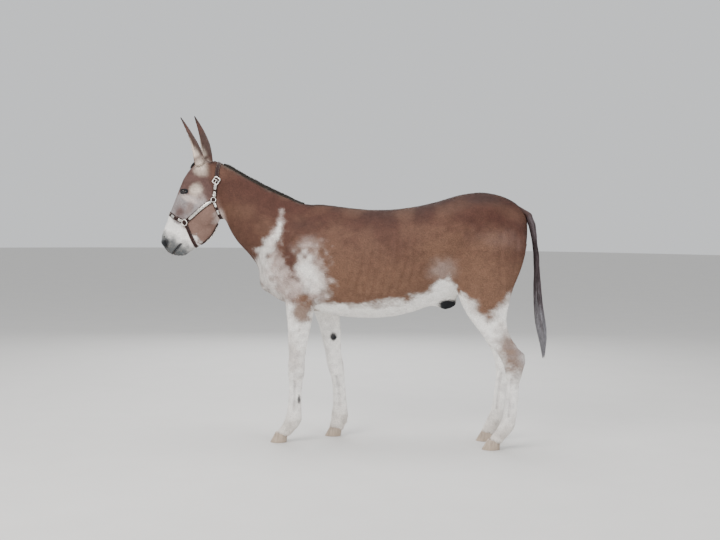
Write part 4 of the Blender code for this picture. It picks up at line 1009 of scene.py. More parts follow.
def full_colours(points, normals, colours):
    """The markings of the whole animal with those of its ears."""
    return ear_colours(points, normals, coat_colours(points, normals, colours), colours)


SKIN_VOXEL = 0.009
# How far neighbouring nodes are pushed into each other before they are joined.
TOUCH = 0.0003
# The head lies in front of this place, and its skin and that of the lower legs is finer.
HEAD_BACK = -0.84


def search_tree(obj):
    """A tree that finds places on an object's surface, in the animal's own places."""
    return BVHTree.FromPolygons([tuple(p) for p in points_of(obj.data)],
                                [tuple(p.vertices) for p in obj.data.polygons])


def near_places(points, spots, reach):
    """Which points lie within reach of any of a few places of the head."""
    near = np.zeros(len(points), dtype=bool)
    for along, out, side in spots:
        near |= np.linalg.norm(points - on_head(along, out, side), axis=1) < reach
    return near


def join_ears(skin):
    """Set both ears into the skin and soften the join."""
    before = search_tree(skin)
    ears = [ear_mesh(sign) for _, sign in SIDES]
    trees = [search_tree(ear) for ear in ears]
    for ear in ears:
        joint = skin.modifiers.new("ear", "BOOLEAN")
        joint.operation = "UNION"
        joint.solver = "MANIFOLD"
        joint.object = ear
    mesh = apply_modifiers(skin)
    for ear in ears:
        bpy.data.objects.remove(ear)
    points = points_of(mesh)
    weight = np.zeros(len(points))
    roots = near_places(points, [mirrored(EARS[sign][0], sign) for sign in EARS], 0.1)
    for index in np.nonzero(roots)[0]:
        off_skin = before.find_nearest(Vector(points[index]))[3]
        off_ear = min(tree.find_nearest(Vector(points[index]))[3] for tree in trees)
        weight[index] = max(0.0, 1.0 - (off_skin + off_ear) / 0.016)
    even_out(mesh, 8, weight, STEP_IN)
    return mesh


def build_skin(depth, colours):
    """One skin over all the flesh: joined, evened out, set in by the coat's depth, refined and sculpted."""
    source = cad_surface(FLESH, TOUCH)
    eyes = [mirrored(EYE_PLACE, sign) for _, sign in SIDES]
    with editing(source) as work:
        for spot in eyes:
            points, faces = ball(on_head(*spot), (ALONG, OUT, SIDE), (EYE_RADIUS + 0.0012,) * 3)
            verts = [work.verts.new(p + SHIFT) for p in points]
            for face in faces:
                work.faces.new([verts[i] for i in face])
    skin = make_object("skin", source)
    remesh = skin.modifiers.new("join", "REMESH")
    remesh.mode = "VOXEL"
    remesh.voxel_size = SKIN_VOXEL
    mesh = apply_modifiers(skin)
    largest_shell(mesh)
    firm = flesh_firmness(points_of(mesh))
    even_out(mesh, 26, 1.0 - 0.25 * firm)
    even_out(mesh, 24, (1.0 - firm) ** 3, STEP_IN)
    set_points(mesh, points_of(mesh) - normals_of(mesh) * depth)
    points = points_of(mesh)
    refine(mesh, (to_head(points)[:, 0] > 0.04) & (points[:, 0] < HEAD_BACK) | (points[:, 2] < 0.64))
    nose = [(0.57, 0.01, sign * 0.045) for _, sign in SIDES]
    lips = [(0.56 + 0.02 * step, -0.08 + 0.008 * step, sign * 0.03) for step in range(4) for _, sign in SIDES]
    refine(mesh, near_places(points_of(mesh), eyes + nose + lips, 0.042))
    refine(mesh, near_places(points_of(mesh), eyes, 0.03))
    points = points_of(mesh)
    even_out(mesh, 8, ((points[:, 0] < HEAD_BACK) | (points[:, 2] < 0.7)).astype(float))
    sculpt_body(mesh)
    sculpt_head(mesh)
    mesh = join_ears(skin)
    smooth_faces(mesh)
    paint(mesh, full_colours(points_of(mesh), normals_of(mesh), colours))
    return skin


# The coat: short flat tufts in pieces, one for each part of the animal.

# Parts of the coat: centre and axis of the map that each is unwrapped on, the way its map opens, start and length.
COAT_MAPS = {
    "head": ((-1.08, 0.0, 1.5), (-0.4, 0.0, -0.92), (1.0, 0.0, -0.4), -0.36, 0.75),
    "ear_left": ((-1.03, -0.065, 1.85), (-0.05, 0.0, 1.0), (1.0, 0.3, 0.0), -0.2, 0.42),
    "ear_right": ((-1.03, 0.065, 1.85), (-0.05, 0.0, 1.0), (1.0, -0.3, 0.0), -0.2, 0.42),
    "neck": ((-0.65, 0.0, 1.38), (0.7, 0.0, -0.5), (0.5, 0.0, 0.7), -0.55, 1.05),
    "chest": ((-0.35, 0.0, 1.08), (1.0, 0.0, 0.0), (0.0, 0.0, 1.0), -0.36, 0.62),
    "barrel": ((0.2, 0.0, 1.13), (1.0, 0.0, 0.0), (0.0, 0.0, 1.0), -0.36, 0.76),
    "rump": ((0.78, 0.0, 1.15), (1.0, 0.0, 0.0), (0.0, 0.0, 1.0), -0.36, 0.8),
    "foreleg_left": ((-0.34, -0.13, 0.4), (0.0, 0.0, 1.0), (1.0, 0.3, 0.0), -0.42, 0.9),
    "foreleg_right": ((-0.11, 0.13, 0.4), (0.0, 0.0, 1.0), (1.0, -0.3, 0.0), -0.42, 0.9),
    "hindleg_left": ((0.96, -0.14, 0.4), (0.0, 0.0, 1.0), (1.0, 0.3, 0.0), -0.42, 0.9),
    "hindleg_right": ((0.92, 0.14, 0.4), (0.0, 0.0, 1.0), (1.0, -0.3, 0.0), -0.42, 0.9),
}
LEG_TOP = 0.8
COAT_PIECE_TRIANGLES = 190000


def coat_parts(points):
    """The name of the coat part that each place belongs to, as an index into COAT_MAPS."""
    names = list(COAT_MAPS)
    x, y, z = points.T
    part = np.full(len(points), names.index("barrel"))
    part[x < -0.1] = names.index("chest")
    part[x > 0.5] = names.index("rump")
    part[x + 0.62 * (z - 0.925) < -0.4] = names.index("neck")
    part[(x < -0.3) & (z < 1.3) & (x > -0.56)] = names.index("chest")
    part[head_share(points) > 0.5] = names.index("head")
    ears, _ = ear_part(points)
    part[(ears > 0) & (y < 0)] = names.index("ear_left")
    part[(ears > 0) & (y >= 0)] = names.index("ear_right")
    low = z < LEG_TOP
    for name, fore, left in (("foreleg_left", 1, 1), ("foreleg_right", 1, 0),
                             ("hindleg_left", 0, 1), ("hindleg_right", 0, 0)):
        part[low & ((x < 0.3) == bool(fore)) & ((y < 0) == bool(left))] = names.index(name)
    return part


def bare_skin(points):
    """How bare each place is, from 0 (covered) to 1: eyes, nostrils, lips, under the halter's straps."""
    d, h, s = to_head(points).T
    wide = np.abs(s)
    eye = np.sqrt((d - EYE_PLACE[0]) ** 2 + (h - EYE_PLACE[1]) ** 2 + (wide - EYE_PLACE[2]) ** 2)
    bare = ramp(0.031, 0.026, eye)
    flat = np.stack((d, h, wide), axis=1)
    bare = np.maximum(bare, ramp(0.02, 0.01, path_distance(flat, NOSTRIL_PATH)) * (wide > 0.02))
    along, off = mouth_line(d, h)
    return np.maximum(bare, ramp(0.009, 0.005, np.abs(off)) * (along > -0.004) * (d > 0.5))


def coat_size(points):
    """The tufts' size at each place, next to those of the body."""
    d, _, _ = to_head(points).T
    size = np.where(head_share(points) > 0.5, np.interp(d, (0.0, 0.25, 0.5, 0.62), (0.72, 0.55, 0.42, 0.34)), 1.0)
    foot = np.interp(points[:, 2], (0.05, 0.3, 0.6, 0.9), (0.36, 0.46, 0.62, 1.0))
    ears, _ = ear_part(points)
    return np.minimum(np.minimum(size, foot), np.where(ears > 0, 0.55, 1.0))


def build_coat(skin, coat, colours):
    """Tufts over the whole skin, in one object for each part."""
    rng = np.random.default_rng(5)
    count = coat.tufts

    def weigh(places, _):
        # Smaller tufts stand closer together.
        return (1.0 - bare_skin(places)) / coat_size(places) ** 1.25

    roots, normals = surface_samples(skin.data, count, weigh, rng)
    size = coat_size(roots) * rng.uniform(0.8, 1.2, count)
    ways = hair_lie(roots, normals)
    look = full_colours(roots, normals, colours)
    look = look * rng.uniform(0.8, 1.2, (count, 1)) * rng.uniform(0.97, 1.03, (count, 3))
    lift = np.radians(coat.lift) * rng.uniform(0.6, 1.5, count) * np.minimum(1.0, 0.3 + 0.8 * coat_size(roots))
    ways = unit(flattened(unit(ways + rng.normal(0.0, 0.16, (count, 3))), normals))
    rising = unit(ways * np.cos(lift)[:, None] + normals * np.sin(lift)[:, None])
    lengths = coat.length * size
    bends = -normals * (lengths * 0.1)[:, None]
    part = coat_parts(roots)
    pieces = []
    for index, name in enumerate(COAT_MAPS):
        picked = np.nonzero(part == index)[0]
        groups = math.ceil(len(picked) * 3 / COAT_PIECE_TRIANGLES)
        for number in range(groups):
            mine = picked[number::groups]
            word = f"coat_{name}" if groups == 1 else f"coat_{name}_{number + 1}"
            pieces.append(blades(word, roots[mine] - normals[mine] * 0.0006, rising[mine], normals[mine],
                                 lengths[mine], coat.width * size[mine], look[mine],
                                 unwrap_places(roots[mine], name), bends[mine], tips=look[mine] * 1.1))
    return pieces


# Eyes and hooves.

def build_eye(sign, colours):
    """An eyeball with a dark brown iris, a wide dark pupil and a pale blue rim."""
    centre, slit, over, outward = eye_frame(sign)
    points, faces = ball(centre, (slit, over, outward), (EYE_RADIUS, EYE_RADIUS, EYE_RADIUS), 5)
    rel = points - centre
    a, b = rel @ slit, rel @ over
    bulge = ramp(0.016, 0.0, np.hypot(a, b)) * (rel @ outward > 0)
    points = points + outward * (0.0012 * bulge)[:, None]
    mesh = fast_mesh("eyeball", points, NO_QUADS, faces)
    reach = np.hypot(a, b) / 0.0165
    angle = np.arctan2(b, a)
    spokes = 0.75 + 0.5 * np.abs(np.sin(angle * 23 + 3 * noise(points, 0.004, 200)))
    look = np.tile(colours["iris"], (len(points), 1)) * spokes[:, None]
    look = mix(look, colours["pupil"], ramp(1.05, 0.85, np.hypot(a / 0.01, b / 0.0052)))
    look = mix(look, colours["pupil"], ramp(0.9, 1.0, reach) * 0.8)
    look = mix(look, colours["white"] * np.array((0.55, 0.5, 0.48)), ramp(1.04, 1.14, reach))
    paint(mesh, look, "eye_colour")
    return make_object("eyeball_" + ("left" if sign < 0 else "right"), mesh)


# Toe, heel, top of the toe, top of the heel and side of each hoof, from nose to tail of the animal.
HOOVES = {
    "fore_left": (-0.492, -0.392, -0.461, -0.386, -0.132),
    "fore_right": (-0.19, -0.09, -0.157, -0.082, 0.132),
    "hind_left": (0.812, 0.92, 0.848, 0.924, -0.135),
    "hind_right": (0.768, 0.876, 0.803, 0.879, 0.135),
}
HOOF_TOE = 0.06
HOOF_HEEL = 0.046
HOOF_HALF_WIDTH = 0.046


def build_hoof(name):
    """A hoof wall with growth rings, a worn ground edge and a soft band where the hair starts."""
    toe, heel, rim_toe, rim_heel, y = HOOVES[name]
    rows, ring = 40, 72
    verts = []
    angles = np.arange(ring) * math.tau / ring
    for row in range(rows + 1):
        part = row / rows
        grow = float(np.interp(part, (0.0, 0.03, 0.55, 0.9, 1.0), (0.985, 1.01, 0.945, 0.875, 0.865)))
        front = toe + (rim_toe - toe) * part
        back = heel + (rim_heel - heel) * part
        half_wide = HOOF_HALF_WIDTH * grow * 0.97
        middle, half_long = (front + back) / 2, (back - front) / 2
        growth = 0.0007 * math.sin(part * 52.0) + 0.0004 * math.sin(part * 131.0 + y * 40)
        growth *= part > 0.03
        x = middle - np.cos(angles) * (half_long + growth)
        blunt = np.sign(np.sin(angles)) * np.abs(np.sin(angles)) ** 0.86
        wide = half_wide * (1.0 - 0.13 * np.maximum(0, -np.cos(angles)))
        side = y + blunt * (wide + growth)
        z = (HOOF_HEEL + (HOOF_TOE - HOOF_HEEL) * (0.5 + 0.5 * np.cos(angles))) * part
        verts.append(np.stack((x, side, z), axis=1))
    top = verts[-1]
    centre = top.mean(axis=0)
    verts += [centre + (top - centre) * share + np.array((0, 0, 0.003)) for share in (0.93, 0.72)]
    verts.insert(0, verts[0] * 0.96 + np.array(((toe + heel) / 2, y, 0.0)) * 0.04)
    levels = len(verts)
    verts = np.concatenate(verts)
    verts[:, 2] = np.maximum(verts[:, 2], 0.0)
    verts = np.concatenate((verts, verts[:ring].mean(axis=0)[None], verts[-ring:].mean(axis=0)[None]))
    mesh = fast_mesh("hoof", verts, tube_faces(levels, ring)[:, ::-1], end_faces(levels, ring)[:, ::-1])
    return make_object("horn_" + name, mesh)


# Long hair: mane, forelock, tail, and the fine hair of face, ears and fetlocks.

def strands(name, lines, radii, sides, colours, uvs):
    """Round hairs drawn to a point: lines is hairs x rows x 3, radii hairs x rows, colours hairs x rows x 3."""
    hairs, rows, _ = lines.shape
    run = np.gradient(lines, axis=1)
    run /= np.maximum(np.linalg.norm(run, axis=2, keepdims=True), 1e-9)
    first = np.cross(run, np.array((0.31, 0.88, 0.36)))
    first /= np.maximum(np.linalg.norm(first, axis=2, keepdims=True), 1e-9)
    second = np.cross(run, first)
    verts = []
    for side in range(sides):
        angle = math.tau * side / sides
        verts.append(lines + (first * math.cos(angle) + second * math.sin(angle)) * radii[:, :, None])
    verts = np.stack(verts, axis=2)
    per = rows * sides
    quads = ((np.arange(hairs) * per)[:, None, None] + tube_faces(rows, sides)).reshape(-1, 4)
    mesh = fast_mesh(name, verts.reshape(-1, 3), quads, NO_TRIS)
    paint(mesh, np.repeat(colours.reshape(-1, 3), sides, axis=0))
    step = np.arange(per)
    patch = np.stack((step % sides / sides, step // sides / rows), axis=1) * MAP_PATCH
    write_map(mesh, np.repeat(uvs, per, axis=0) + np.tile(patch, (hairs, 1)))
    return make_object(name, mesh)


# The tail's middle in the side view, from the croup down.
TAIL_LINE = (
    (1.04, 1.44), (1.076, 1.415), (1.1, 1.36), (1.113, 1.29), (1.121, 1.2), (1.126, 1.1),
    (1.131, 1.0), (1.137, 0.9), (1.149, 0.8), (1.164, 0.71), (1.174, 0.63), (1.176, 0.545),
)
# The dock's start and end, and the steps of the line between them that its thickness is given at.
DOCK_START = -0.8
DOCK_END = 4.6
DOCK_STEPS = (DOCK_START, -0.4, 0, 1, 2, 3, 4, DOCK_END)
# Half the width of the hair at steps of the line.
TAIL_SPREAD = ((0, 0.006), (1, 0.011), (3, 0.017), (5, 0.022), (7, 0.033), (8.6, 0.041), (9.6, 0.028), (11, 0.005))


# An angle that spreads locks evenly round the dock, however many there are.
GOLDEN_TURN = 2.399963


def on_tail(at):
    """Middle of the tail at a place along its line, in steps of the line."""
    steps = np.arange(len(TAIL_LINE))
    before = np.minimum(at, 0.0)
    closer = 0.007 * ramp(0.5, 1.5, at) * ramp(4.5, 3.0, at)
    x, z = (np.interp(at, steps, places) for places in zip(*TAIL_LINE))
    return np.stack((x + 0.05 * before - closer, np.zeros_like(at), z - 0.042 * before), axis=-1)


def build_dock(colours):
    """The tail's own flesh, tapering to half way, under the hair."""
    rows, ring = 40, 24
    at = np.linspace(DOCK_START, DOCK_END, rows)
    middle = on_tail(at)
    radius = np.interp(at, DOCK_STEPS, (0.008, 0.014, 0.019, 0.025, 0.026, 0.021, 0.014, 0.003))
    across = np.array((0.0, 1.0, 0.0))
    thick = np.cross(unit(np.gradient(middle, axis=0)), across)
    angles = np.arange(ring) * math.tau / ring
    verts = (middle[:, None] + across * (np.cos(angles) * radius[:, None])[..., None]
             + thick[:, None] * (np.sin(angles) * radius[:, None] * 0.85)[..., None]).reshape(-1, 3)
    mesh = fast_mesh("dock", verts, tube_faces(rows, ring), NO_TRIS)
    part = np.repeat(ramp(0.3, 1.6, at), ring)
    paint(mesh, mix(np.tile(colours["dark"] * 0.6, (len(verts), 1)), colours["tail"], part))
    return make_object("dock", mesh)


def build_tail(count, colours):
    """Hair of the tail: strands rooted along the dock, falling in loose locks to thin grey ends."""
    rng = np.random.default_rng(21)
    rows = 16
    group = rng.integers(0, 70, count)
    start = np.where(rng.random(count) < 0.35, rng.uniform(-0.35, 1.4, count), rng.uniform(0.8, DOCK_END, count))
    reach = np.where(rng.random(count) < 0.34, rng.uniform(2.2, 4.6, count), 99.0)
    end = np.minimum(start + reach, rng.uniform(9.9, 11.0, count))
    around = (group * GOLDEN_TURN + rng.normal(0.0, 0.3, count)) % math.tau
    depth = np.sqrt(rng.uniform(0.12, 1.0, count))
    part = np.linspace(0.0, 1.0, rows)
    at = start[:, None] + (end - start)[:, None] * part
    spread = np.interp(at, *zip(*TAIL_SPREAD))
    rooted = ramp(0.0, 0.25, part)[None, :]
    radius = spread * (depth[:, None] * rooted + 0.7 * (1 - rooted))
    radius = np.maximum(radius, np.interp(at, DOCK_STEPS, (0.006, 0.012, 0.017, 0.023, 0.024, 0.018, 0.01, 0.0)))
    phase = (group * 1.7)[:, None] + rng.uniform(0.0, 0.8, (count, 1))
    turn = around[:, None] + 0.25 * np.sin(at * 0.9 + phase)
    lines = on_tail(at)
    lines[..., 0] += np.sin(turn) * radius * 0.72
    lines[..., 1] += np.cos(turn) * radius
    lines[..., 0] += 0.0045 * np.sin(at * 1.5 + phase) * ramp(0.3, 0.8, part)[None, :]
    lines[..., 1] += 0.0035 * np.cos(at * 1.9 + phase * 1.3) * ramp(0.2, 0.8, part)[None, :]
    lines[..., 2] = np.maximum(lines[..., 2], TAIL_LINE[-1][1])
    radii = np.interp(part, (0.0, 0.1, 0.75, 1.0), (0.0011, 0.0015, 0.0012, 0.0001))
    radii = radii[None, :] * rng.uniform(0.7, 1.3, (count, 1))
    tone = colours["tail"] * rng.uniform(0.55, 1.45, (count, 1))
    tone = np.repeat(tone[:, None, :], rows, axis=1)
    grey = ramp(6.2, 9.4, at + rng.normal(0, 0.8, (count, 1))) * rng.uniform(0.4, 1.0, (count, 1))
    tone = tone + (colours["tail_ends"] - tone) * grey[..., None]
    top = ramp(2.2, 0.4, at) * 0.75
    tone = tone + (colours["dark"] * 0.6 - tone) * top[..., None]
    uvs = np.stack((around / math.tau, (start + 0.4) / (DOCK_END + 0.4)), axis=1) * 0.98 + 0.005
    return strands("tail_hair", lines, radii, 3, tone, uvs)


MANE_FRONT = -0.828
MANE_BACK = -0.315
# How far the hairs of the mane are set into the skin.
HAIR_SET = 0.003


def build_mane(tree, count, height, colours):
    """A clipped mane: dense upright dark hairs along the crest, with grey-brown hairs at its foot."""
    rng = np.random.default_rng(31)
    x = rng.uniform(MANE_FRONT, MANE_BACK, count)
    side = np.clip(rng.normal(0.0, 0.0065, count), -0.014, 0.014)
    roots = np.array([struck(tree, (x[index], side[index], 2.2), (0, 0, -1))[0] for index in range(count)])
    part = (x - MANE_FRONT) / (MANE_BACK - MANE_FRONT)
    tall = height * (1.0 - 0.55 * ramp(0.7, 1.0, part)) * (1.0 - 0.35 * ramp(0.05, 0.0, part))
    tall = tall * (0.86 + 0.22 * noise(roots, 0.018, 301)) * (1.0 - 0.45 * (np.abs(side) / 0.014) ** 2)
    tall = tall * rng.uniform(0.8, 1.05, count)
    short = rng.random(count) < 0.58
    tall = np.where(short, tall * 0.66, tall)
    ways = np.stack((np.full(count, 0.3), side * 16, np.ones(count)), axis=1)
    ways = unit(unit(ways) + rng.normal(0.0, 0.1, ways.shape))
    facing = unit(rng.normal(0.0, 1.0, ways.shape))
    tone = colours["mane"] * rng.uniform(0.6, 1.5, (count, 1))
    foot = mix(tone, colours["mane_foot"], rng.uniform(0.7, 1.0, count))
    tone = np.where(short[:, None], foot, tone * 0.9)
    uvs = np.stack((part, side / 0.03 + 0.5), axis=1) * 0.98 + 0.01
    bends = np.stack((tall * 0.16, np.zeros(count), -tall * 0.03), axis=1)
    return blades("mane_hair", roots - ways * HAIR_SET, ways, facing, tall + HAIR_SET, np.full(count, 0.0022), foot,
                  np.clip(uvs, MAP_EDGE, 1 - MAP_EDGE), bends, 3, tone)


def build_forelock(tree, count, colours):
    """The short stub of dark hair between the ears, falling forward over the forehead."""
    rng = np.random.default_rng(33)
    rows = 7
    side = np.clip(rng.normal(0.0, 0.012, count), -0.026, 0.026)
    start = rng.uniform(-0.008, 0.018, count)
    end = start + rng.uniform(0.044, 0.078, count) * (1.0 - 0.5 * (np.abs(side) / 0.028))
    lift = rng.uniform(0.25, 1.0, count)
    lines = np.zeros((count, rows, 3))
    for index in range(count):
        for row in range(rows):
            part = row / (rows - 1)
            spot = on_head(start[index] + (end[index] - start[index]) * part, 0.5, side[index] * (1 + 0.5 * part))
            place, normal = struck(tree, spot, -OUT)
            rise = 0.015 * lift[index] * math.sin(math.pi * (0.04 + 0.8 * part)) + 0.0008
            lines[index, row] = place + normal * rise
    lines += np.cumsum(rng.normal(0.0, 0.0005, lines.shape), axis=1)
    radii = np.interp(np.linspace(0, 1, rows), (0, 0.6, 1), (0.0009, 0.0008, 0.0001))[None] * np.ones((count, 1))
    tone = colours["mane"] * rng.uniform(0.6, 1.9, (count, 1))
    tone = np.repeat(tone[:, None, :], rows, axis=1)
    uvs = np.stack((side / 0.06 + 0.5, start / 0.04 + 0.4), axis=1)
    return strands("forelock_hair", lines, radii, 3, tone, np.clip(uvs, 0.004, 0.99))


def struck(tree, spot, way):
    """The place where a line from a spot meets the skin, and the skin's outward direction there."""
    place, normal, _, _ = tree.ray_cast(Vector(spot), Vector(way))
    if place is None:
        raise RuntimeError(f"no skin is met from {tuple(spot)}")
    return np.array(place), np.array(normal)


def nearest_on(tree, spots):
    """Nearest place of the skin, and its outward direction, for each spot."""
    found = [tree.find_nearest(Vector(spot)) for spot in spots]
    return np.array([f[0][:] for f in found]), np.array([f[1][:] for f in found])


def hair_rows(roots, ways, lengths, sag, rows=6):
    """Bent lines of hair from their roots: straight out at first, then leaning by `sag`."""
    part = np.linspace(0.0, 1.0, rows)
    lines = roots[:, None] + ways[:, None] * (lengths[:, None] * part)[..., None]
    return lines + sag[:, None] * (lengths[:, None] * part ** 2)[..., None]


def build_face_hair(tree, colours):
    """Lashes over each eye and whiskers about the lips and chin."""
    rng = np.random.default_rng(41)
    roots, ways, lengths, sags, tones, thick = [], [], [], [], [], []
    for _, sign in SIDES:
        centre, slit, over, outward = eye_frame(sign)
        for _ in range(130):
            a = rng.uniform(-0.92, 0.8) * SLIT_HALF
            b = UPPER_LID * (1 - (abs(a) / SLIT_HALF) ** 2.2) + rng.uniform(0.0, 0.0012)
            c = math.sqrt(max((EYE_RADIUS + 0.003) ** 2 - a * a - b * b, 1e-6))
            roots.append(centre + slit * a + over * b + outward * c)
            ways.append(outward * 0.9 - over * 0.1 + slit * (a / SLIT_HALF) * 0.4 + rng.normal(0, 0.08, 3))
            lengths.append(rng.uniform(0.008, 0.015))
            sags.append(over * 0.25 - OUT * 0.05)
            tones.append(colours["skin"] * rng.uniform(0.6, 1.2))
            thick.append(0.00022)
    for _ in range(150):
        sign = rng.choice((-1, 1))
        d, h = rng.uniform(0.545, 0.645), rng.uniform(-0.11, 0.006)
        place, normal, _, _ = tree.ray_cast(Vector(on_head(d, h, sign * 0.14)), Vector(-SIDE * sign))
        if place is None:
            continue
        roots.append(np.array(place))
        ways.append(np.array(normal) + ALONG * 0.45 + rng.normal(0, 0.15, 3))
        lengths.append(rng.uniform(0.012, 0.038))
        sags.append(np.array((0.0, 0.0, -0.35)))
        tones.append(colours["dust"] * rng.uniform(0.3, 1.1))
        thick.append(0.00024)
    ways = unit(np.array(ways))
    lines = hair_rows(np.array(roots), ways, np.array(lengths), np.array(sags))
    rows = lines.shape[1]
    radii = np.array(thick)[:, None] * np.linspace(1.0, 0.25, rows)
    tone = np.repeat(np.array(tones)[:, None, :], rows, axis=1)
    return strands("whiskers", lines, radii, 3, tone, unwrap_places(np.array(roots), "head"))


def build_ear_fringe(sign, count, colours):
    """Soft pale hair that fills the cup of an ear and stands past its edges."""
    rng = np.random.default_rng(51 + sign)
    _, _, rise, opens, _ = ear_frame(sign)
    parts = rng.uniform(0.16, 0.86, count)
    gap = ear_gap(parts)
    edge = rng.random(count) < 0.55
    inward = np.where(edge, rng.uniform(0.0, 0.12, count), rng.uniform(0.1, 0.75, count))
    turn = gap + inward * (math.pi - gap)
    turn = turn * np.where(rng.random(count) < 0.5, -1, 1)
    roots = ear_places(sign, parts, turn, 0.005)
    middle = ear_places(sign, parts, np.zeros(count), np.full(count, 0.03))
    away = unit(middle - roots)
    ways = unit(away * 0.5 + rise * 0.75 + opens * 0.35 + rng.normal(0, 0.14, (count, 3)))
    lengths = rng.uniform(0.008, 0.02, count) * np.interp(parts, (0.16, 0.4, 0.9), (1.1, 1.0, 0.5))
    tone = colours["cream"] * rng.uniform(0.75, 1.2, (count, 1))
    tone = mix(tone, colours["ear"], ramp(0.38, 0.62, parts) * 0.9)
    tone = mix(tone, colours["line"], ramp(0.66, 0.86, parts))
    uvs = unwrap_places(roots, "ear_left")
    bends = opens[None] * (lengths * 0.1)[:, None]
    return blades("ear_hair_" + ("left" if sign < 0 else "right"), roots, ways, unit(rng.normal(0, 1, (count, 3))),
                  lengths, np.full(count, 0.0013), tone, uvs, bends, 3)


def build_fetlock_hair(tree, count, colours):
    """Longer hair behind each fetlock and round the top of each hoof."""
    rng = np.random.default_rng(61)
    names = list(HOOVES)
    which = rng.integers(0, 4, count)
    spots, lengths = [], []
    for index in range(count):
        _, _, rim_toe, rim_heel, y = HOOVES[names[which[index]]]
        turn = rng.uniform(0.0, math.tau)
        if rng.random() < 0.72:
            middle, half = (rim_toe + rim_heel) / 2, (rim_heel - rim_toe) / 2
            level = HOOF_HEEL + (HOOF_TOE - HOOF_HEEL) * (0.5 + 0.5 * math.cos(turn))
            spots.append((middle - math.cos(turn) * half * 1.05, y + math.sin(turn) * 0.043,
                          level + rng.uniform(0.001, 0.014)))
            lengths.append(rng.uniform(0.009, 0.016))
        else:
            spots.append((rim_heel + 0.012 + rng.uniform(-0.02, 0.02), y + rng.uniform(-0.022, 0.022),
                          rng.uniform(0.085, 0.15)))
            lengths.append(rng.uniform(0.012, 0.024))
    roots, normals = nearest_on(tree, spots)
    ways = unit(np.array((0.1, 0.0, -1.0)) + normals * 0.42 + rng.normal(0.0, 0.1, roots.shape))
    lengths = np.minimum(np.array(lengths), np.maximum(roots[:, 2] - 0.03, 0.004))
    look = coat_colours(roots, normals, colours) * rng.uniform(0.8, 1.15, (count, 1))
    uvs = np.stack((which * 0.25 + 0.02 + 0.2 * rng.random(count), np.clip(roots[:, 2] * 5, 0.01, 0.99)), axis=1)
    return blades("fetlock_hair", roots - normals * 0.001, ways, normals, lengths, np.full(count, 0.0016), look, uvs,
                  -normals * (lengths * 0.16)[:, None], 2)


# The halter: leather straps with stitches, engraved silver plates, rings and a square buckle on each side.

RING_AT = (0.394, -0.064)
JOINT = (0.187, -0.177)
BUCKLE_AT = (0.069, -0.148)
# Half-sizes of a stitch: along the strap, across it and out of it.
STITCH = (0.0021, 0.00055, 0.0005)
# How far outside the skin a line starts that looks for it.
CLEAR = 0.5
# Cross-sections of strap and plate: place across from -1 to 1, height from 0 to 1.
STRAP_PROFILE = (
    (-1.0, 0.05), (-1.0, 0.62), (-0.95, 0.9), (-0.84, 1.0), (-0.73, 0.88), (-0.6, 0.84), (-0.25, 0.92),
    (0.25, 0.92), (0.6, 0.84), (0.73, 0.88), (0.84, 1.0), (0.95, 0.9), (1.0, 0.62), (1.0, 0.05),
)
PLATE_PROFILE = (
    (-1.0, 0.0), (-1.0, 0.55), (-0.93, 0.8), (-0.82, 0.72), (-0.74, 0.8), (-0.35, 0.96), (0.0, 1.0),
    (0.35, 0.96), (0.74, 0.8), (0.82, 0.72), (0.93, 0.8), (1.0, 0.55), (1.0, 0.0),
)


def lengths_along(line):
    """How far each place of a line lies from its start."""
    return np.concatenate(((0,), np.cumsum(np.linalg.norm(np.diff(line, axis=0), axis=1))))


def spaced(line, count):
    """A number of even steps along a line."""
    length = lengths_along(line)
    at = np.linspace(0, length[-1], count)
    return np.stack([np.interp(at, length, places) for places in line.T], axis=1)


def fan(tree, centre, toward, start, end, count):
    """Places of the skin met from outside, in the plane of `toward` and the head's side direction."""
    middle = on_head(*centre)
    aim = straight(ALONG * toward[0] + OUT * toward[1])
    places = []
    for angle in np.radians(np.linspace(start, end, count)):
        way = aim * math.cos(angle) + SIDE * math.sin(angle)
        places.append(struck(tree, middle + way * CLEAR, -way)[0])
    return np.array(places)


def flank(tree, spots, sign, count):
    """Places of the skin met from one side of the head, along a line through a few spots."""
    return np.array([struck(tree, on_head(d, h, sign * CLEAR), -SIDE * sign)[0]
                     for d, h in spaced(np.array(spots), count)])


def strap_line(tree, places, spacing=0.004):
    """An even, gently smoothed line over places of the skin, with the skin's own outward directions."""
    for _ in range(4):
        places[1:-1] = places[1:-1] * 0.5 + (places[:-2] + places[2:]) * 0.25
    line = spaced(places, max(4, int(lengths_along(places)[-1] / spacing)))
    near, normals = nearest_on(tree, line)
    depth = np.einsum("ij,ij->i", near - line, normals)
    line = line + normals * np.maximum(depth, 0.0)[:, None]
    for _ in range(8):
        normals[1:-1] = unit(normals[1:-1] * 0.5 + (normals[:-2] + normals[2:]) * 0.25)
        line[1:-1] = line[1:-1] * 0.5 + (line[:-2] + line[2:]) * 0.25
    return line, normals


def line_axes(line, normals):
    """Directions along a line, across it over the skin, and away from the skin."""
    run = unit(np.gradient(line, axis=0))
    wide = unit(np.cross(run, normals))
    return run, wide, unit(np.cross(wide, run))


def band(line, normals, width, low, high, profile, taper=0.0):
    """A closed band along a line with the given cross-section, from `low` to `high` over the line."""
    run, wide, up = line_axes(line, normals)
    part = np.linspace(0, 1, len(line))
    ends = 1.0 - taper * np.maximum(ramp(0.12, 0.0, part), ramp(0.88, 1.0, part))
    verts = np.stack([line + wide * (u * width / 2 * ends)[:, None] + up * (low + (high - low) * v)
                      for u, v in profile], axis=1)
    caps = [verts[0].mean(axis=0) - run[0] * 0.0012, verts[-1].mean(axis=0) + run[-1] * 0.0012]
    sizes = len(line), len(profile)
    return np.concatenate((verts.reshape(-1, 3), np.array(caps))), tube_faces(*sizes), end_faces(*sizes)


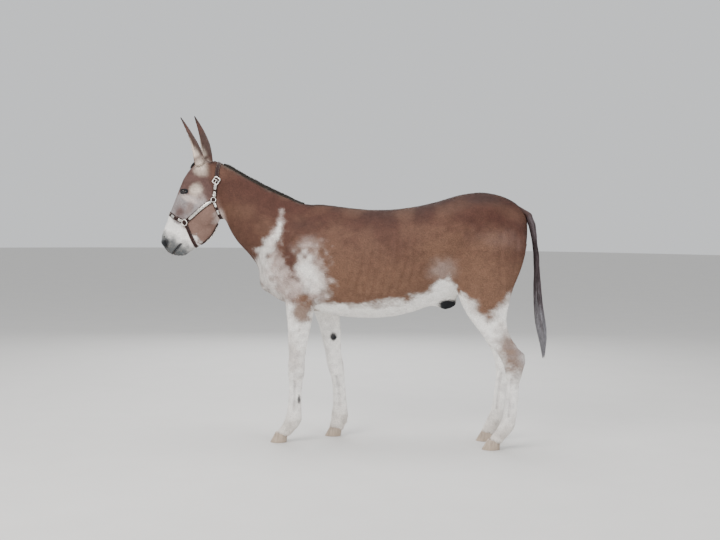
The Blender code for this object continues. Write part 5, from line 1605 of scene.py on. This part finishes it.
def joined(name, pieces):
    """One mesh from several (points, quads, triangles)."""
    verts, quads, tris, start = [], [], [], 0
    for v, q, t in pieces:
        verts.append(v)
        quads.append(q + start)
        tris.append(t + start)
        start += len(v)
    mesh = fast_mesh(name, np.concatenate(verts), np.concatenate(quads), np.concatenate(tris))
    with editing(mesh) as work:
        bmesh.ops.recalc_face_normals(work, faces=work.faces)
    return make_object(name, mesh)


def stitches(line, normals, width, height, gap=0.0062):
    """Two rows of short raised stitches along a strap."""
    length = lengths_along(line)
    lines = (line, *line_axes(line, normals))
    pieces = []
    for at in np.arange(gap, length[-1] - gap, gap):
        for sign in (-1, 1):
            spot, *axes = (np.array([np.interp(at, length, values[:, axis]) for axis in range(3)]) for values in lines)
            centre = spot + axes[1] * sign * width * 0.36 + axes[2] * height
            points, faces = ball(centre, axes, STITCH, 1)
            pieces.append((points, NO_QUADS, faces))
    return pieces


def ring_tube(centre, normal, up, half_wide, half_tall, radius, square=0.0, turns=48, sides=12):
    """A ring of round wire lying flat on a surface: round, or squared off for a buckle."""
    across = np.cross(up, normal)
    angles = np.arange(turns) * math.tau / turns
    c, s = (np.sign(turn) * np.abs(turn) ** (1.0 - square) for turn in (np.cos(angles), np.sin(angles)))
    line = centre + across * (c * half_wide)[:, None] + up * (s * half_tall)[:, None]
    run = unit(np.roll(line, -1, axis=0) - np.roll(line, 1, axis=0))
    side = unit(np.cross(run, normal))
    around = np.arange(sides) * math.tau / sides
    verts = (line[:, None] + side[:, None] * (np.cos(around) * radius)[None, :, None]
             + normal * (np.sin(around) * radius)[None, :, None])
    return verts.reshape(-1, 3), tube_faces(turns, sides, True), NO_TRIS


def surface_frame(tree, spot, sign):
    """Place on the cheek, its outward direction, and the way along the head there."""
    place, normal = struck(tree, on_head(*spot, sign * CLEAR), -SIDE * sign)
    return place, normal, straight(ALONG - normal * (ALONG @ normal))


def turned(vector, normal, degrees):
    """A direction turned about another."""
    angle = math.radians(degrees)
    return vector * math.cos(angle) + np.cross(normal, vector) * math.sin(angle)


def build_halter(tree, width, thick):
    """All straps, stitches, plates, rings and buckles of the halter, as four joined pieces."""
    base, over = 0.0014, 0.0014 + thick
    nose = strap_line(tree, fan(tree, RING_AT, (0.0, 1.0), -90, 90, 60))
    chin = strap_line(tree, fan(tree, RING_AT, (0.108, -0.108), -92, 92, 60))
    throat = strap_line(tree, fan(tree, JOINT, (0.125, -0.105), -92, 92, 60))
    crown = strap_line(tree, fan(tree, BUCKLE_AT, (-0.14, 0.068), -94, 94, 70))
    under = strap_line(tree, under_jaw(tree))
    straps = [(nose, width, over), (chin, width * 0.85, over * 0.95), (throat, width * 0.8, over * 0.92),
              (crown, width, over * 0.98), (under, width * 0.8, over * 0.9)]
    cheeks = []
    for _, sign in SIDES:
        cheek = strap_line(tree, flank(tree, [JOINT, RING_AT], sign, 40))
        upper = strap_line(tree, flank(tree, [BUCKLE_AT, JOINT], sign, 24))
        straps += [(cheek, width, over * 1.06), (upper, width, over * 1.05)]
        cheeks.append((cheek, upper))
    leather, thread = [], []
    for (line, normals), wide, top in straps:
        leather.append(band(line, normals, wide, base, top, STRAP_PROFILE))
        thread += stitches(line, normals, wide, base + (top - base) * 0.88)
    plates = []

    def plate(strap, start, end, wide, top, dome=0.0022):
        line, normals = strap
        first, last = int(start * (len(line) - 1)), int(end * (len(line) - 1))
        plates.append(band(line[first:last + 1], normals[first:last + 1], wide, top, top + dome, PLATE_PROFILE, 0.35))

    for cheek, upper in cheeks:
        plate(cheek, 0.1, 0.86, width * 0.66, over)
        plate(upper, 0.18, 0.46, width * 0.7, over)
        plate(upper, 0.56, 0.84, width * 0.7, over)
    for strap, wide, top, dome, spans in (
            (nose, 0.62, 0.94, 0.0022, ((0.08, 0.16), (0.25, 0.36), (0.44, 0.56), (0.64, 0.75), (0.84, 0.92))),
            (throat, 0.52, 0.86, 0.0022, ((0.07, 0.17), (0.24, 0.34), (0.66, 0.76), (0.83, 0.93))),
            (under, 0.66, 0.84, 0.0052, ((0.22, 0.36), (0.4, 0.54), (0.58, 0.72), (0.76, 0.9)))):
        for start, end in spans:
            plate(strap, start, end, width * wide, over * top, dome)
    metal = []
    for _, sign in SIDES:
        for spot, height, half, wire in ((RING_AT, 0.0022, 0.019, 0.0032), (JOINT, 0.001, 0.015, 0.0026)):
            place, normal, up = surface_frame(tree, spot, sign)
            metal.append(ring_tube(place + normal * (over + height), normal, up, half, half, wire))
        place, normal, up = surface_frame(tree, BUCKLE_AT, sign)
        up = turned(up, normal, 10 * sign)
        spot = place + normal * (over + 0.002)
        metal.append(ring_tube(spot, normal, up, 0.0185, 0.0205, 0.0036, 0.62))
        metal.append(rod(spot - up * 0.003, spot + up * 0.0215 + normal * 0.002, 0.0021))
        bar = np.cross(up, normal) * 0.017
        metal.append(rod(spot - bar - up * 0.003, spot + bar - up * 0.003, 0.0022))
    return (joined("halter_leather", leather), joined("halter_stitches", thread),
            joined("halter_plates", plates), joined("halter_metal", metal))


def rod(start, end, radius, sides=12):
    """A short round rod with softened ends."""
    run = straight(end - start)
    first = straight(np.cross(run, (0.3, 0.9, 0.2)))
    second = np.cross(run, first)
    verts = []
    for part, grow in ((0.0, 0.55), (0.04, 1.0), (0.96, 1.0), (1.0, 0.55)):
        for angle in np.arange(sides) * math.tau / sides:
            aside = first * math.cos(angle) + second * math.sin(angle)
            verts.append(start + (end - start) * part + aside * radius * grow)
    return np.array((*verts, start, end)), tube_faces(4, sides), end_faces(4, sides)


def under_jaw(tree):
    """Places along the underside of the jaw, from the chin strap back to the throat strap."""
    return np.array([struck(tree, on_head(d, -0.1), -OUT)[0] for d in np.linspace(0.484, 0.318, 40)])


# Materials of the other pieces.

def eye_material():
    """Wet glossy eye over its painted iris."""
    graph = Graph("wet_eye")
    veins = graph.ramp(graph.noise(900.0, 4.0), (0.35, 0.8), (0.65, 1.1))
    graph.colour(graph.times(graph.painted("eye_colour"), veins))
    graph.bump(graph.noise(300.0, 2.0), 0.02, 0.0003)
    graph.set(Roughness=0.1, Coat_Weight=0.55, Coat_Roughness=0.03, Specular_IOR_Level=0.25)
    return graph.material


def horn_material(colour, dust):
    """Pale hoof horn: fine upright grain, darker streaks, and dust towards the ground."""
    graph = Graph("hoof_horn")
    grain = graph.noise(60.0, 6.0, (3.0, 3.0, 0.25))
    streak = graph.noise(16.0, 3.0, (3.5, 3.5, 0.4))
    base = graph.ramp(streak, (0.32, shaded(colour, 0.55)), (0.68, shaded(colour, 1.15)))
    fine = graph.ramp(grain, (0.3, 0.8), (0.7, 1.15))
    tone = graph.times(base, fine)
    split = graph.node("ShaderNodeSeparateXYZ")
    graph.join(graph.place(), split.inputs["Vector"])
    low = graph.ramp(split.outputs["Z"], (0.0, 0.85), (0.045, 0.25))
    speck = graph.times(low, graph.ramp(graph.noise(38.0, 5.0), (0.3, 0.6), (0.7, 1.0)))
    graph.colour(graph.blend("MIX", speck, tone, dust))
    graph.bump(grain, 0.35, 0.0012)
    graph.set(Roughness=0.58, Specular_IOR_Level=0.4)
    return graph.material


def hair_material(name, rough):
    """Long hair in its painted colours, with a low sheen."""
    graph = Graph(name)
    shade = graph.ramp(graph.noise(140.0, 3.0), (0.3, 0.75), (0.7, 1.25))
    graph.colour(graph.times(graph.painted(), shade))
    graph.bump(graph.noise(900.0, 2.0, (1.0, 1.0, 0.15)), 0.3, 0.0006)
    graph.set(Roughness=rough, Specular_IOR_Level=0.35)
    return graph.material


def leather_material(colour):
    """Oiled dark leather: pores, soft creases and rubbed lighter patches."""
    graph = Graph("halter_leather")
    cells = graph.node("ShaderNodeTexVoronoi", Scale=520.0)
    graph.join(graph.place(), cells.inputs["Vector"])
    pores = graph.ramp(cells.outputs["Distance"], (0.1, 0.0), (0.55, 1.0))
    worn = graph.noise(46.0, 5.0)
    tone = graph.ramp(worn, (0.3, shaded(colour, 0.6)), (0.58, colour),
                      (0.8, shaded(colour, 1.9)))
    graph.colour(graph.blend("MULTIPLY", 0.5, tone, pores))
    rough = graph.ramp(worn, (0.3, 0.5), (0.75, 0.68))
    graph.join(rough, graph.shader.inputs["Roughness"])
    height = graph.blend("MIX", 0.55, pores, worn)
    graph.bump(height, 0.45, 0.0006)
    graph.set(Specular_IOR_Level=0.22)
    return graph.material


def thread_material(colour):
    """Waxed thread with a twist in it."""
    graph = Graph("waxed_thread")
    twist = graph.noise(1500.0, 2.0)
    graph.colour(graph.ramp(twist, (0.35, shaded(colour, 0.7)), (0.65, colour)))
    graph.bump(twist, 0.4, 0.0003)
    graph.set(Roughness=0.6)
    return graph.material


def silver_material(name, colour, engraved):
    """Polished silver with fine scratches, darker in its hollows, and leafy engraving where asked for."""
    graph = Graph(name)
    scratch = graph.noise(420.0, 4.0, (1.0, 1.0, 6.0))
    tarnish = graph.noise(70.0, 5.0)
    tone = graph.ramp(tarnish, (0.3, shaded(colour, 0.7)), (0.62, colour))
    height = scratch
    if engraved:
        curl = graph.node("ShaderNodeTexWave", wave_type="RINGS", rings_direction="SPHERICAL", Scale=62.0,
                          Distortion=9.0, Detail=2.0, Detail_Scale=3.0)
        graph.join(graph.place(), curl.inputs["Vector"])
        lines = graph.ramp(curl.outputs["Fac"], (0.18, 0.0), (0.42, 1.0))
        hollow = graph.times(tone, graph.ramp(curl.outputs["Fac"], (0.15, 0.3), (0.45, 1.0)))
        tone = graph.blend("MIX", 0.55, tone, hollow)
        height = graph.blend("MIX", 0.15, lines, scratch)
    graph.colour(tone)
    graph.join(graph.ramp(tarnish, (0.3, 0.22), (0.7, 0.38)), graph.shader.inputs["Roughness"])
    graph.bump(height, 0.35, 0.0006)
    graph.set(Metallic=0.92)
    return graph.material


def floor_material(colour):
    """Pale matt floor with a faint mottle."""
    graph = Graph("pale_floor")
    mottle = graph.noise(3.0, 5.0)
    graph.colour(graph.ramp(mottle, (0.3, shaded(colour, 0.965)), (0.7, colour)))
    graph.bump(graph.noise(60.0, 3.0), 0.05, 0.001)
    graph.set(Roughness=0.85)
    return graph.material


# Sizes and colours that a user may change.

def colour_of(words, note, value):
    return FloatVectorProperty(name=words, description=note, subtype="COLOR", size=3, min=0.0, max=1.0, default=value)


def length_of(words, note, value, most):
    return FloatProperty(name=words, description=note, unit="LENGTH", min=0.0, max=most, default=value, precision=4)


def count_of(words, note, value):
    return IntProperty(name=words, description=note, min=1, default=value)


class MuleColours(bpy.types.PropertyGroup):
    """Colours of the coat, the bare skin and the long hair."""

    mid: colour_of("Body", "Red brown of neck and shoulder", (0.094, 0.044, 0.03))
    dark: colour_of("Back", "Darker red brown of back and rump", (0.066, 0.025, 0.018))
    tan: colour_of("Lower barrel", "Lighter brown low on the barrel", (0.165, 0.088, 0.056))
    pale: colour_of("Roan patches", "Pale hair mixed into chest and shoulder", (0.6, 0.5, 0.46))
    white: colour_of("White", "White of belly, legs and nose", (0.9, 0.87, 0.83))
    cream: colour_of("Cream", "Cream round the eyes and in the ears", (0.72, 0.6, 0.5))
    forehead: colour_of("Forehead", "Brown of the forehead", (0.105, 0.058, 0.05))
    cheek: colour_of("Cheek", "Pinkish brown of the cheek", (0.19, 0.115, 0.092))
    # The face's grey also paints the shade in the grooves of the lower legs.
    roan: colour_of("Face", "Grey white of the face", (0.3, 0.27, 0.27))
    ear: colour_of("Ears", "Brown of the backs of the ears", (0.062, 0.035, 0.028))
    line: colour_of("Back line", "Dark brown of the line on the back and of the ears' tips", (0.016, 0.01, 0.009))
    muzzle: colour_of("Muzzle", "Dark grey of the muzzle", (0.07, 0.076, 0.08))
    skin: colour_of("Bare skin", "Near black of lids, nostrils and sheath", (0.012, 0.013, 0.016))
    dust: colour_of("Dust", "Dust on the lower legs", (0.42, 0.33, 0.25))
    iris: colour_of("Iris", "Dark brown of the eye", (0.018, 0.009, 0.006))
    pupil: colour_of("Pupil", "Black of the pupil", (0.003, 0.003, 0.005))
    mane: colour_of("Mane", "Dark hair of mane and forelock", (0.012, 0.009, 0.009))
    mane_foot: colour_of("Mane foot", "Grey brown at the foot of the mane", (0.088, 0.075, 0.062))
    tail: colour_of("Tail", "Plum brown of the tail", (0.06, 0.042, 0.046))
    tail_ends: colour_of("Tail ends", "Grey of the ends of the tail", (0.34, 0.335, 0.36))
    horn: colour_of("Hooves", "Pale horn of the hooves", (0.54, 0.43, 0.345))


class MuleCoat(bpy.types.PropertyGroup):
    """Sizes of the coat."""

    depth: length_of("Depth", "How far the skin lies under the tips of the coat", 0.0025, 0.01)
    tufts: count_of("Tufts", "Number of tufts on the whole animal", 330000)
    length: length_of("Tuft length", "Length of a tuft on the body", 0.014, 0.05)
    width: length_of("Tuft width", "Width of a tuft on the body", 0.0027, 0.01)
    lift: FloatProperty(name="Lift", description="Degrees a tuft stands off the skin", min=0.0, max=45.0,
                        default=9.0)


class MuleHair(bpy.types.PropertyGroup):
    """Sizes of mane, forelock, tail and fine hair."""

    mane_height: length_of("Mane height", "Height of the clipped mane", 0.018, 0.2)
    mane_hairs: count_of("Mane hairs", "Number of hairs in the mane", 9000)
    forelock_hairs: count_of("Forelock hairs", "Number of hairs in the forelock", 700)
    tail_hairs: count_of("Tail hairs", "Number of hairs in the tail", 1900)
    ear_hairs: count_of("Ear hairs", "Number of hairs in each ear", 1500)
    fetlock_hairs: count_of("Fetlock hairs", "Number of longer hairs at the hooves", 5200)


class MuleHalter(bpy.types.PropertyGroup):
    """Sizes and colours of the halter."""

    width: length_of("Strap width", "Width of the main straps", 0.026, 0.06)
    thick: length_of("Strap thickness", "Thickness of the leather", 0.0046, 0.01)
    leather: colour_of("Leather", "Dark red brown leather", (0.026, 0.009, 0.008))
    thread: colour_of("Thread", "Pale waxed thread", (0.42, 0.34, 0.25))
    silver: colour_of("Silver", "Polished silver fittings", (0.9, 0.86, 0.8))


class MuleStage(bpy.types.PropertyGroup):
    """The floor and the light."""

    floor: colour_of("Floor", "Pale matt floor", (0.64, 0.625, 0.605))
    key_power: FloatProperty(name="Key light", description="Power of the main soft light in watts", min=0.0,
                             default=330.0)
    sky: FloatProperty(name="Surroundings", description="Strength of the pale surroundings", min=0.0, default=0.85)


GROUPS = {"mule_colours": MuleColours, "mule_coat": MuleCoat, "mule_hair": MuleHair, "mule_halter": MuleHalter,
          "mule_stage": MuleStage}


def colour_table():
    group = settings().mule_colours
    return {name: np.array(getattr(group, name)[:]) for name in MuleColours.__annotations__}


def dress(obj, material):
    """Give a piece its material and let it ride with the body."""
    obj.data.materials.clear()
    obj.data.materials.append(material)
    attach(obj, "root")


def material_named(name, maker, *values):
    return bpy.data.materials.get(name) or maker(*values)


class MULE_OT_skin(bpy.types.Operator):
    """Build the whole animal's skin, with its ears, folds, lids, nostrils and lips"""

    bl_idname = "mule.skin"
    bl_label = "Skin"

    def execute(self, context):
        skin = build_skin(settings().mule_coat.depth, colour_table())
        dress(skin, coat_material("short_coat"))
        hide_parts(*FLESH, "ear_left", "ear_right")
        return {"FINISHED"}


class MULE_OT_eyes(bpy.types.Operator):
    """Set the eyes between their lids"""

    bl_idname = "mule.eyes"
    bl_label = "Eyes"

    def execute(self, context):
        colours = colour_table()
        for word, sign in SIDES:
            eye = build_eye(sign, colours)
            dress(eye, material_named("wet_eye", eye_material))
            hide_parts("eye_" + word)
        return {"FINISHED"}


class MULE_OT_hooves(bpy.types.Operator):
    """Build the four hooves"""

    bl_idname = "mule.hooves"
    bl_label = "Hooves"

    def execute(self, context):
        colours = colour_table()
        horn = horn_material(tuple(colours["horn"]), tuple(colours["dust"]))
        for name in HOOVES:
            hoof = build_hoof(name)
            dress(hoof, horn)
            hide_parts("hoof_" + name)
        return {"FINISHED"}


class MULE_OT_coat(bpy.types.Operator):
    """Cover the skin with short tufts that follow the lie of the coat"""

    bl_idname = "mule.coat"
    bl_label = "Coat"

    def execute(self, context):
        tufts = coat_material("coat_tufts", 0.25, 0.74)
        for piece in build_coat(bpy.data.objects["skin"], settings().mule_coat, colour_table()):
            dress(piece, tufts)
        return {"FINISHED"}


class MULE_OT_mane(bpy.types.Operator):
    """Build the clipped mane and the short forelock"""

    bl_idname = "mule.mane"
    bl_label = "Mane and forelock"

    def execute(self, context):
        tree, hair, colours = search_tree(bpy.data.objects["skin"]), settings().mule_hair, colour_table()
        dark = hair_material("dark_hair", 0.5)
        mane = build_mane(tree, hair.mane_hairs, hair.mane_height, colours)
        dress(mane, dark)
        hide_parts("mane")
        forelock = build_forelock(tree, hair.forelock_hairs, colours)
        dress(forelock, dark)
        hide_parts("forelock")
        return {"FINISHED"}


class MULE_OT_tail(bpy.types.Operator):
    """Build the dock and the long hair of the tail"""

    bl_idname = "mule.tail"
    bl_label = "Tail"

    def execute(self, context):
        colours = colour_table()
        plum = hair_material("plum_hair", 0.46)
        tail = build_tail(settings().mule_hair.tail_hairs, colours)
        dress(tail, plum)
        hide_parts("tail")
        dress(build_dock(colours), plum)
        return {"FINISHED"}


class MULE_OT_fine_hair(bpy.types.Operator):
    """Add lashes, whiskers, the hair in the ears and the longer hair at the hooves"""

    bl_idname = "mule.fine_hair"
    bl_label = "Fine hair"

    def execute(self, context):
        tree, hair, colours = search_tree(bpy.data.objects["skin"]), settings().mule_hair, colour_table()
        fine = hair_material("fine_hair", 0.6)
        dress(build_face_hair(tree, colours), fine)
        for _, sign in SIDES:
            dress(build_ear_fringe(sign, hair.ear_hairs, colours), fine)
        dress(build_fetlock_hair(tree, hair.fetlock_hairs, colours), fine)
        return {"FINISHED"}


class MULE_OT_halter(bpy.types.Operator):
    """Build the leather halter with its stitches, silver plates, rings and buckles"""

    bl_idname = "mule.halter"
    bl_label = "Halter"

    def execute(self, context):
        tack = settings().mule_halter
        tree = search_tree(bpy.data.objects["skin"])
        leather, thread, plates, metal = build_halter(tree, tack.width, tack.thick)
        dress(leather, leather_material(tuple(tack.leather)))
        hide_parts("halter")
        dress(thread, thread_material(tuple(tack.thread)))
        dress(plates, silver_material("engraved_silver", tuple(tack.silver), True))
        dress(metal, silver_material("silver", tuple(tack.silver), False))
        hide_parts("ring_left", "ring_right", "buckle_left", "buckle_right")
        return {"FINISHED"}


# The stage: camera as the photograph was taken, floor and soft light.

CAMERA_TURN = math.radians(7.0)
CAMERA_DISTANCE = 7.5
CAMERA_HEIGHT = 1.5
CAMERA_PITCH = math.radians(3.3)
CAMERA_ROLL = math.radians(0.6)
CAMERA_AIM_X = 0.04
LENS = 60.48
SENSOR = 36.0


def build_camera():
    """A camera standing where the photograph was taken from."""
    c, s, level = math.cos(CAMERA_TURN), math.sin(CAMERA_TURN), math.cos(CAMERA_PITCH)
    place = Vector((CAMERA_AIM_X + CAMERA_DISTANCE * s, -CAMERA_DISTANCE * c, CAMERA_HEIGHT))
    ahead = Vector((-s * level, c * level, -math.sin(CAMERA_PITCH)))
    right = Vector((c, s, 0.0))
    above = right.cross(ahead)
    rolled = right * math.cos(CAMERA_ROLL) + above * math.sin(CAMERA_ROLL)
    above = above * math.cos(CAMERA_ROLL) - right * math.sin(CAMERA_ROLL)
    matrix = Matrix((rolled, above, -ahead)).transposed().to_4x4()
    matrix.translation = place + Vector(SHIFT)
    data = bpy.data.cameras.new("camera")
    data.lens = LENS
    data.sensor_width = SENSOR
    camera = bpy.data.objects.new("camera", data)
    camera.matrix_world = matrix
    bpy.context.scene.collection.objects.link(camera)
    bpy.context.scene.camera = camera


def soft_light(name, place, aim, size, power, colour):
    """A large soft light looking at a place."""
    data = bpy.data.lights.new(name, "AREA")
    data.shape = "RECTANGLE"
    data.size, data.size_y = size
    data.energy = power
    data.color = colour
    light = bpy.data.objects.new(name, data)
    light.location = place
    light.rotation_euler = (Vector(aim) - Vector(place)).to_track_quat("-Z", "Y").to_euler()
    bpy.context.scene.collection.objects.link(light)


# Radii of the floor's rings, and the number of corners of each.
FLOOR_RINGS = (0.5, 2.0, 5.0, 12.0, 30.0)
FLOOR_CORNERS = 48


def build_floor(colour):
    """A wide round floor, finer towards its middle."""
    work = bmesh.new()
    angles = [math.tau * step / FLOOR_CORNERS for step in range(FLOOR_CORNERS)]
    rings = [[work.verts.new((radius * math.cos(a), radius * math.sin(a), 0.0)) for a in angles]
             for radius in FLOOR_RINGS]
    work.faces.new(rings[0])
    for inner, outer in zip(rings, rings[1:]):
        for step in range(FLOOR_CORNERS):
            after = (step + 1) % FLOOR_CORNERS
            work.faces.new((inner[step], outer[step], outer[after], inner[after]))
    mesh = bpy.data.meshes.new("floor")
    work.to_mesh(mesh)
    work.free()
    floor = make_object("floor", mesh)
    floor.data.materials.append(floor_material(colour))


class MULE_OT_stage(bpy.types.Operator):
    """Set the camera, the pale floor and the soft lights"""

    bl_idname = "mule.stage"
    bl_label = "Stage"

    def execute(self, context):
        stage = settings().mule_stage
        build_camera()
        build_floor(tuple(stage.floor))
        middle = (0.0, 0.0, 1.1)
        soft_light("key", (-2.6, -4.6, 4.4), middle, (3.6, 2.6), stage.key_power, (1.0, 0.985, 0.96))
        soft_light("fill", (4.2, -4.4, 2.4), middle, (3.0, 3.0), stage.key_power * 0.38, (0.96, 0.98, 1.0))
        soft_light("top", (0.3, 0.6, 5.0), middle, (4.5, 3.0), stage.key_power * 0.55, (1.0, 1.0, 1.0))
        soft_light("back", (-1.0, 5.0, 3.0), middle, (4.0, 2.4), stage.key_power * 0.4, (0.97, 0.985, 1.0))
        world = bpy.data.worlds.new("surroundings")
        world.use_nodes = True
        sky = world.node_tree.nodes["Background"]
        sky.inputs["Color"].default_value = (0.93, 0.95, 0.97, 1.0)
        sky.inputs["Strength"].default_value = stage.sky
        bpy.context.scene.world = world
        return {"FINISHED"}


STEPS = (MULE_OT_skin, MULE_OT_eyes, MULE_OT_hooves, MULE_OT_coat, MULE_OT_mane, MULE_OT_tail, MULE_OT_fine_hair,
         MULE_OT_halter, MULE_OT_stage)


class MULE_PT_panel(bpy.types.Panel):
    """Lists the pieces of the mule and their settings"""

    bl_idname = "MULE_PT_panel"
    bl_label = "Standing mule"
    bl_space_type = "VIEW_3D"
    bl_region_type = "UI"
    bl_category = "Mule"

    def draw(self, context):
        for name, kind in GROUPS.items():
            box = self.layout.box()
            box.label(text=kind.__doc__)
            for setting in kind.__annotations__:
                box.prop(getattr(context.scene, name), setting)
        for step in STEPS:
            self.layout.operator(step.bl_idname, text=step.bl_label)


CLASSES = (*GROUPS.values(), *STEPS, MULE_PT_panel)


def register():
    for kind in CLASSES:
        bpy.utils.register_class(kind)
    for name, kind in GROUPS.items():
        setattr(bpy.types.Scene, name, PointerProperty(type=kind))


def unregister():
    for name in GROUPS:
        delattr(bpy.types.Scene, name)
    for kind in reversed(CLASSES):
        bpy.utils.unregister_class(kind)


def main():
    """Build every piece in order."""
    register()
    bpy.ops.mule.skin()
    bpy.ops.mule.eyes()
    bpy.ops.mule.hooves()
    bpy.ops.mule.coat()
    bpy.ops.mule.mane()
    bpy.ops.mule.tail()
    bpy.ops.mule.fine_hair()
    bpy.ops.mule.halter()
    bpy.ops.mule.stage()
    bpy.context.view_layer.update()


if __name__ == "__main__":
    main()
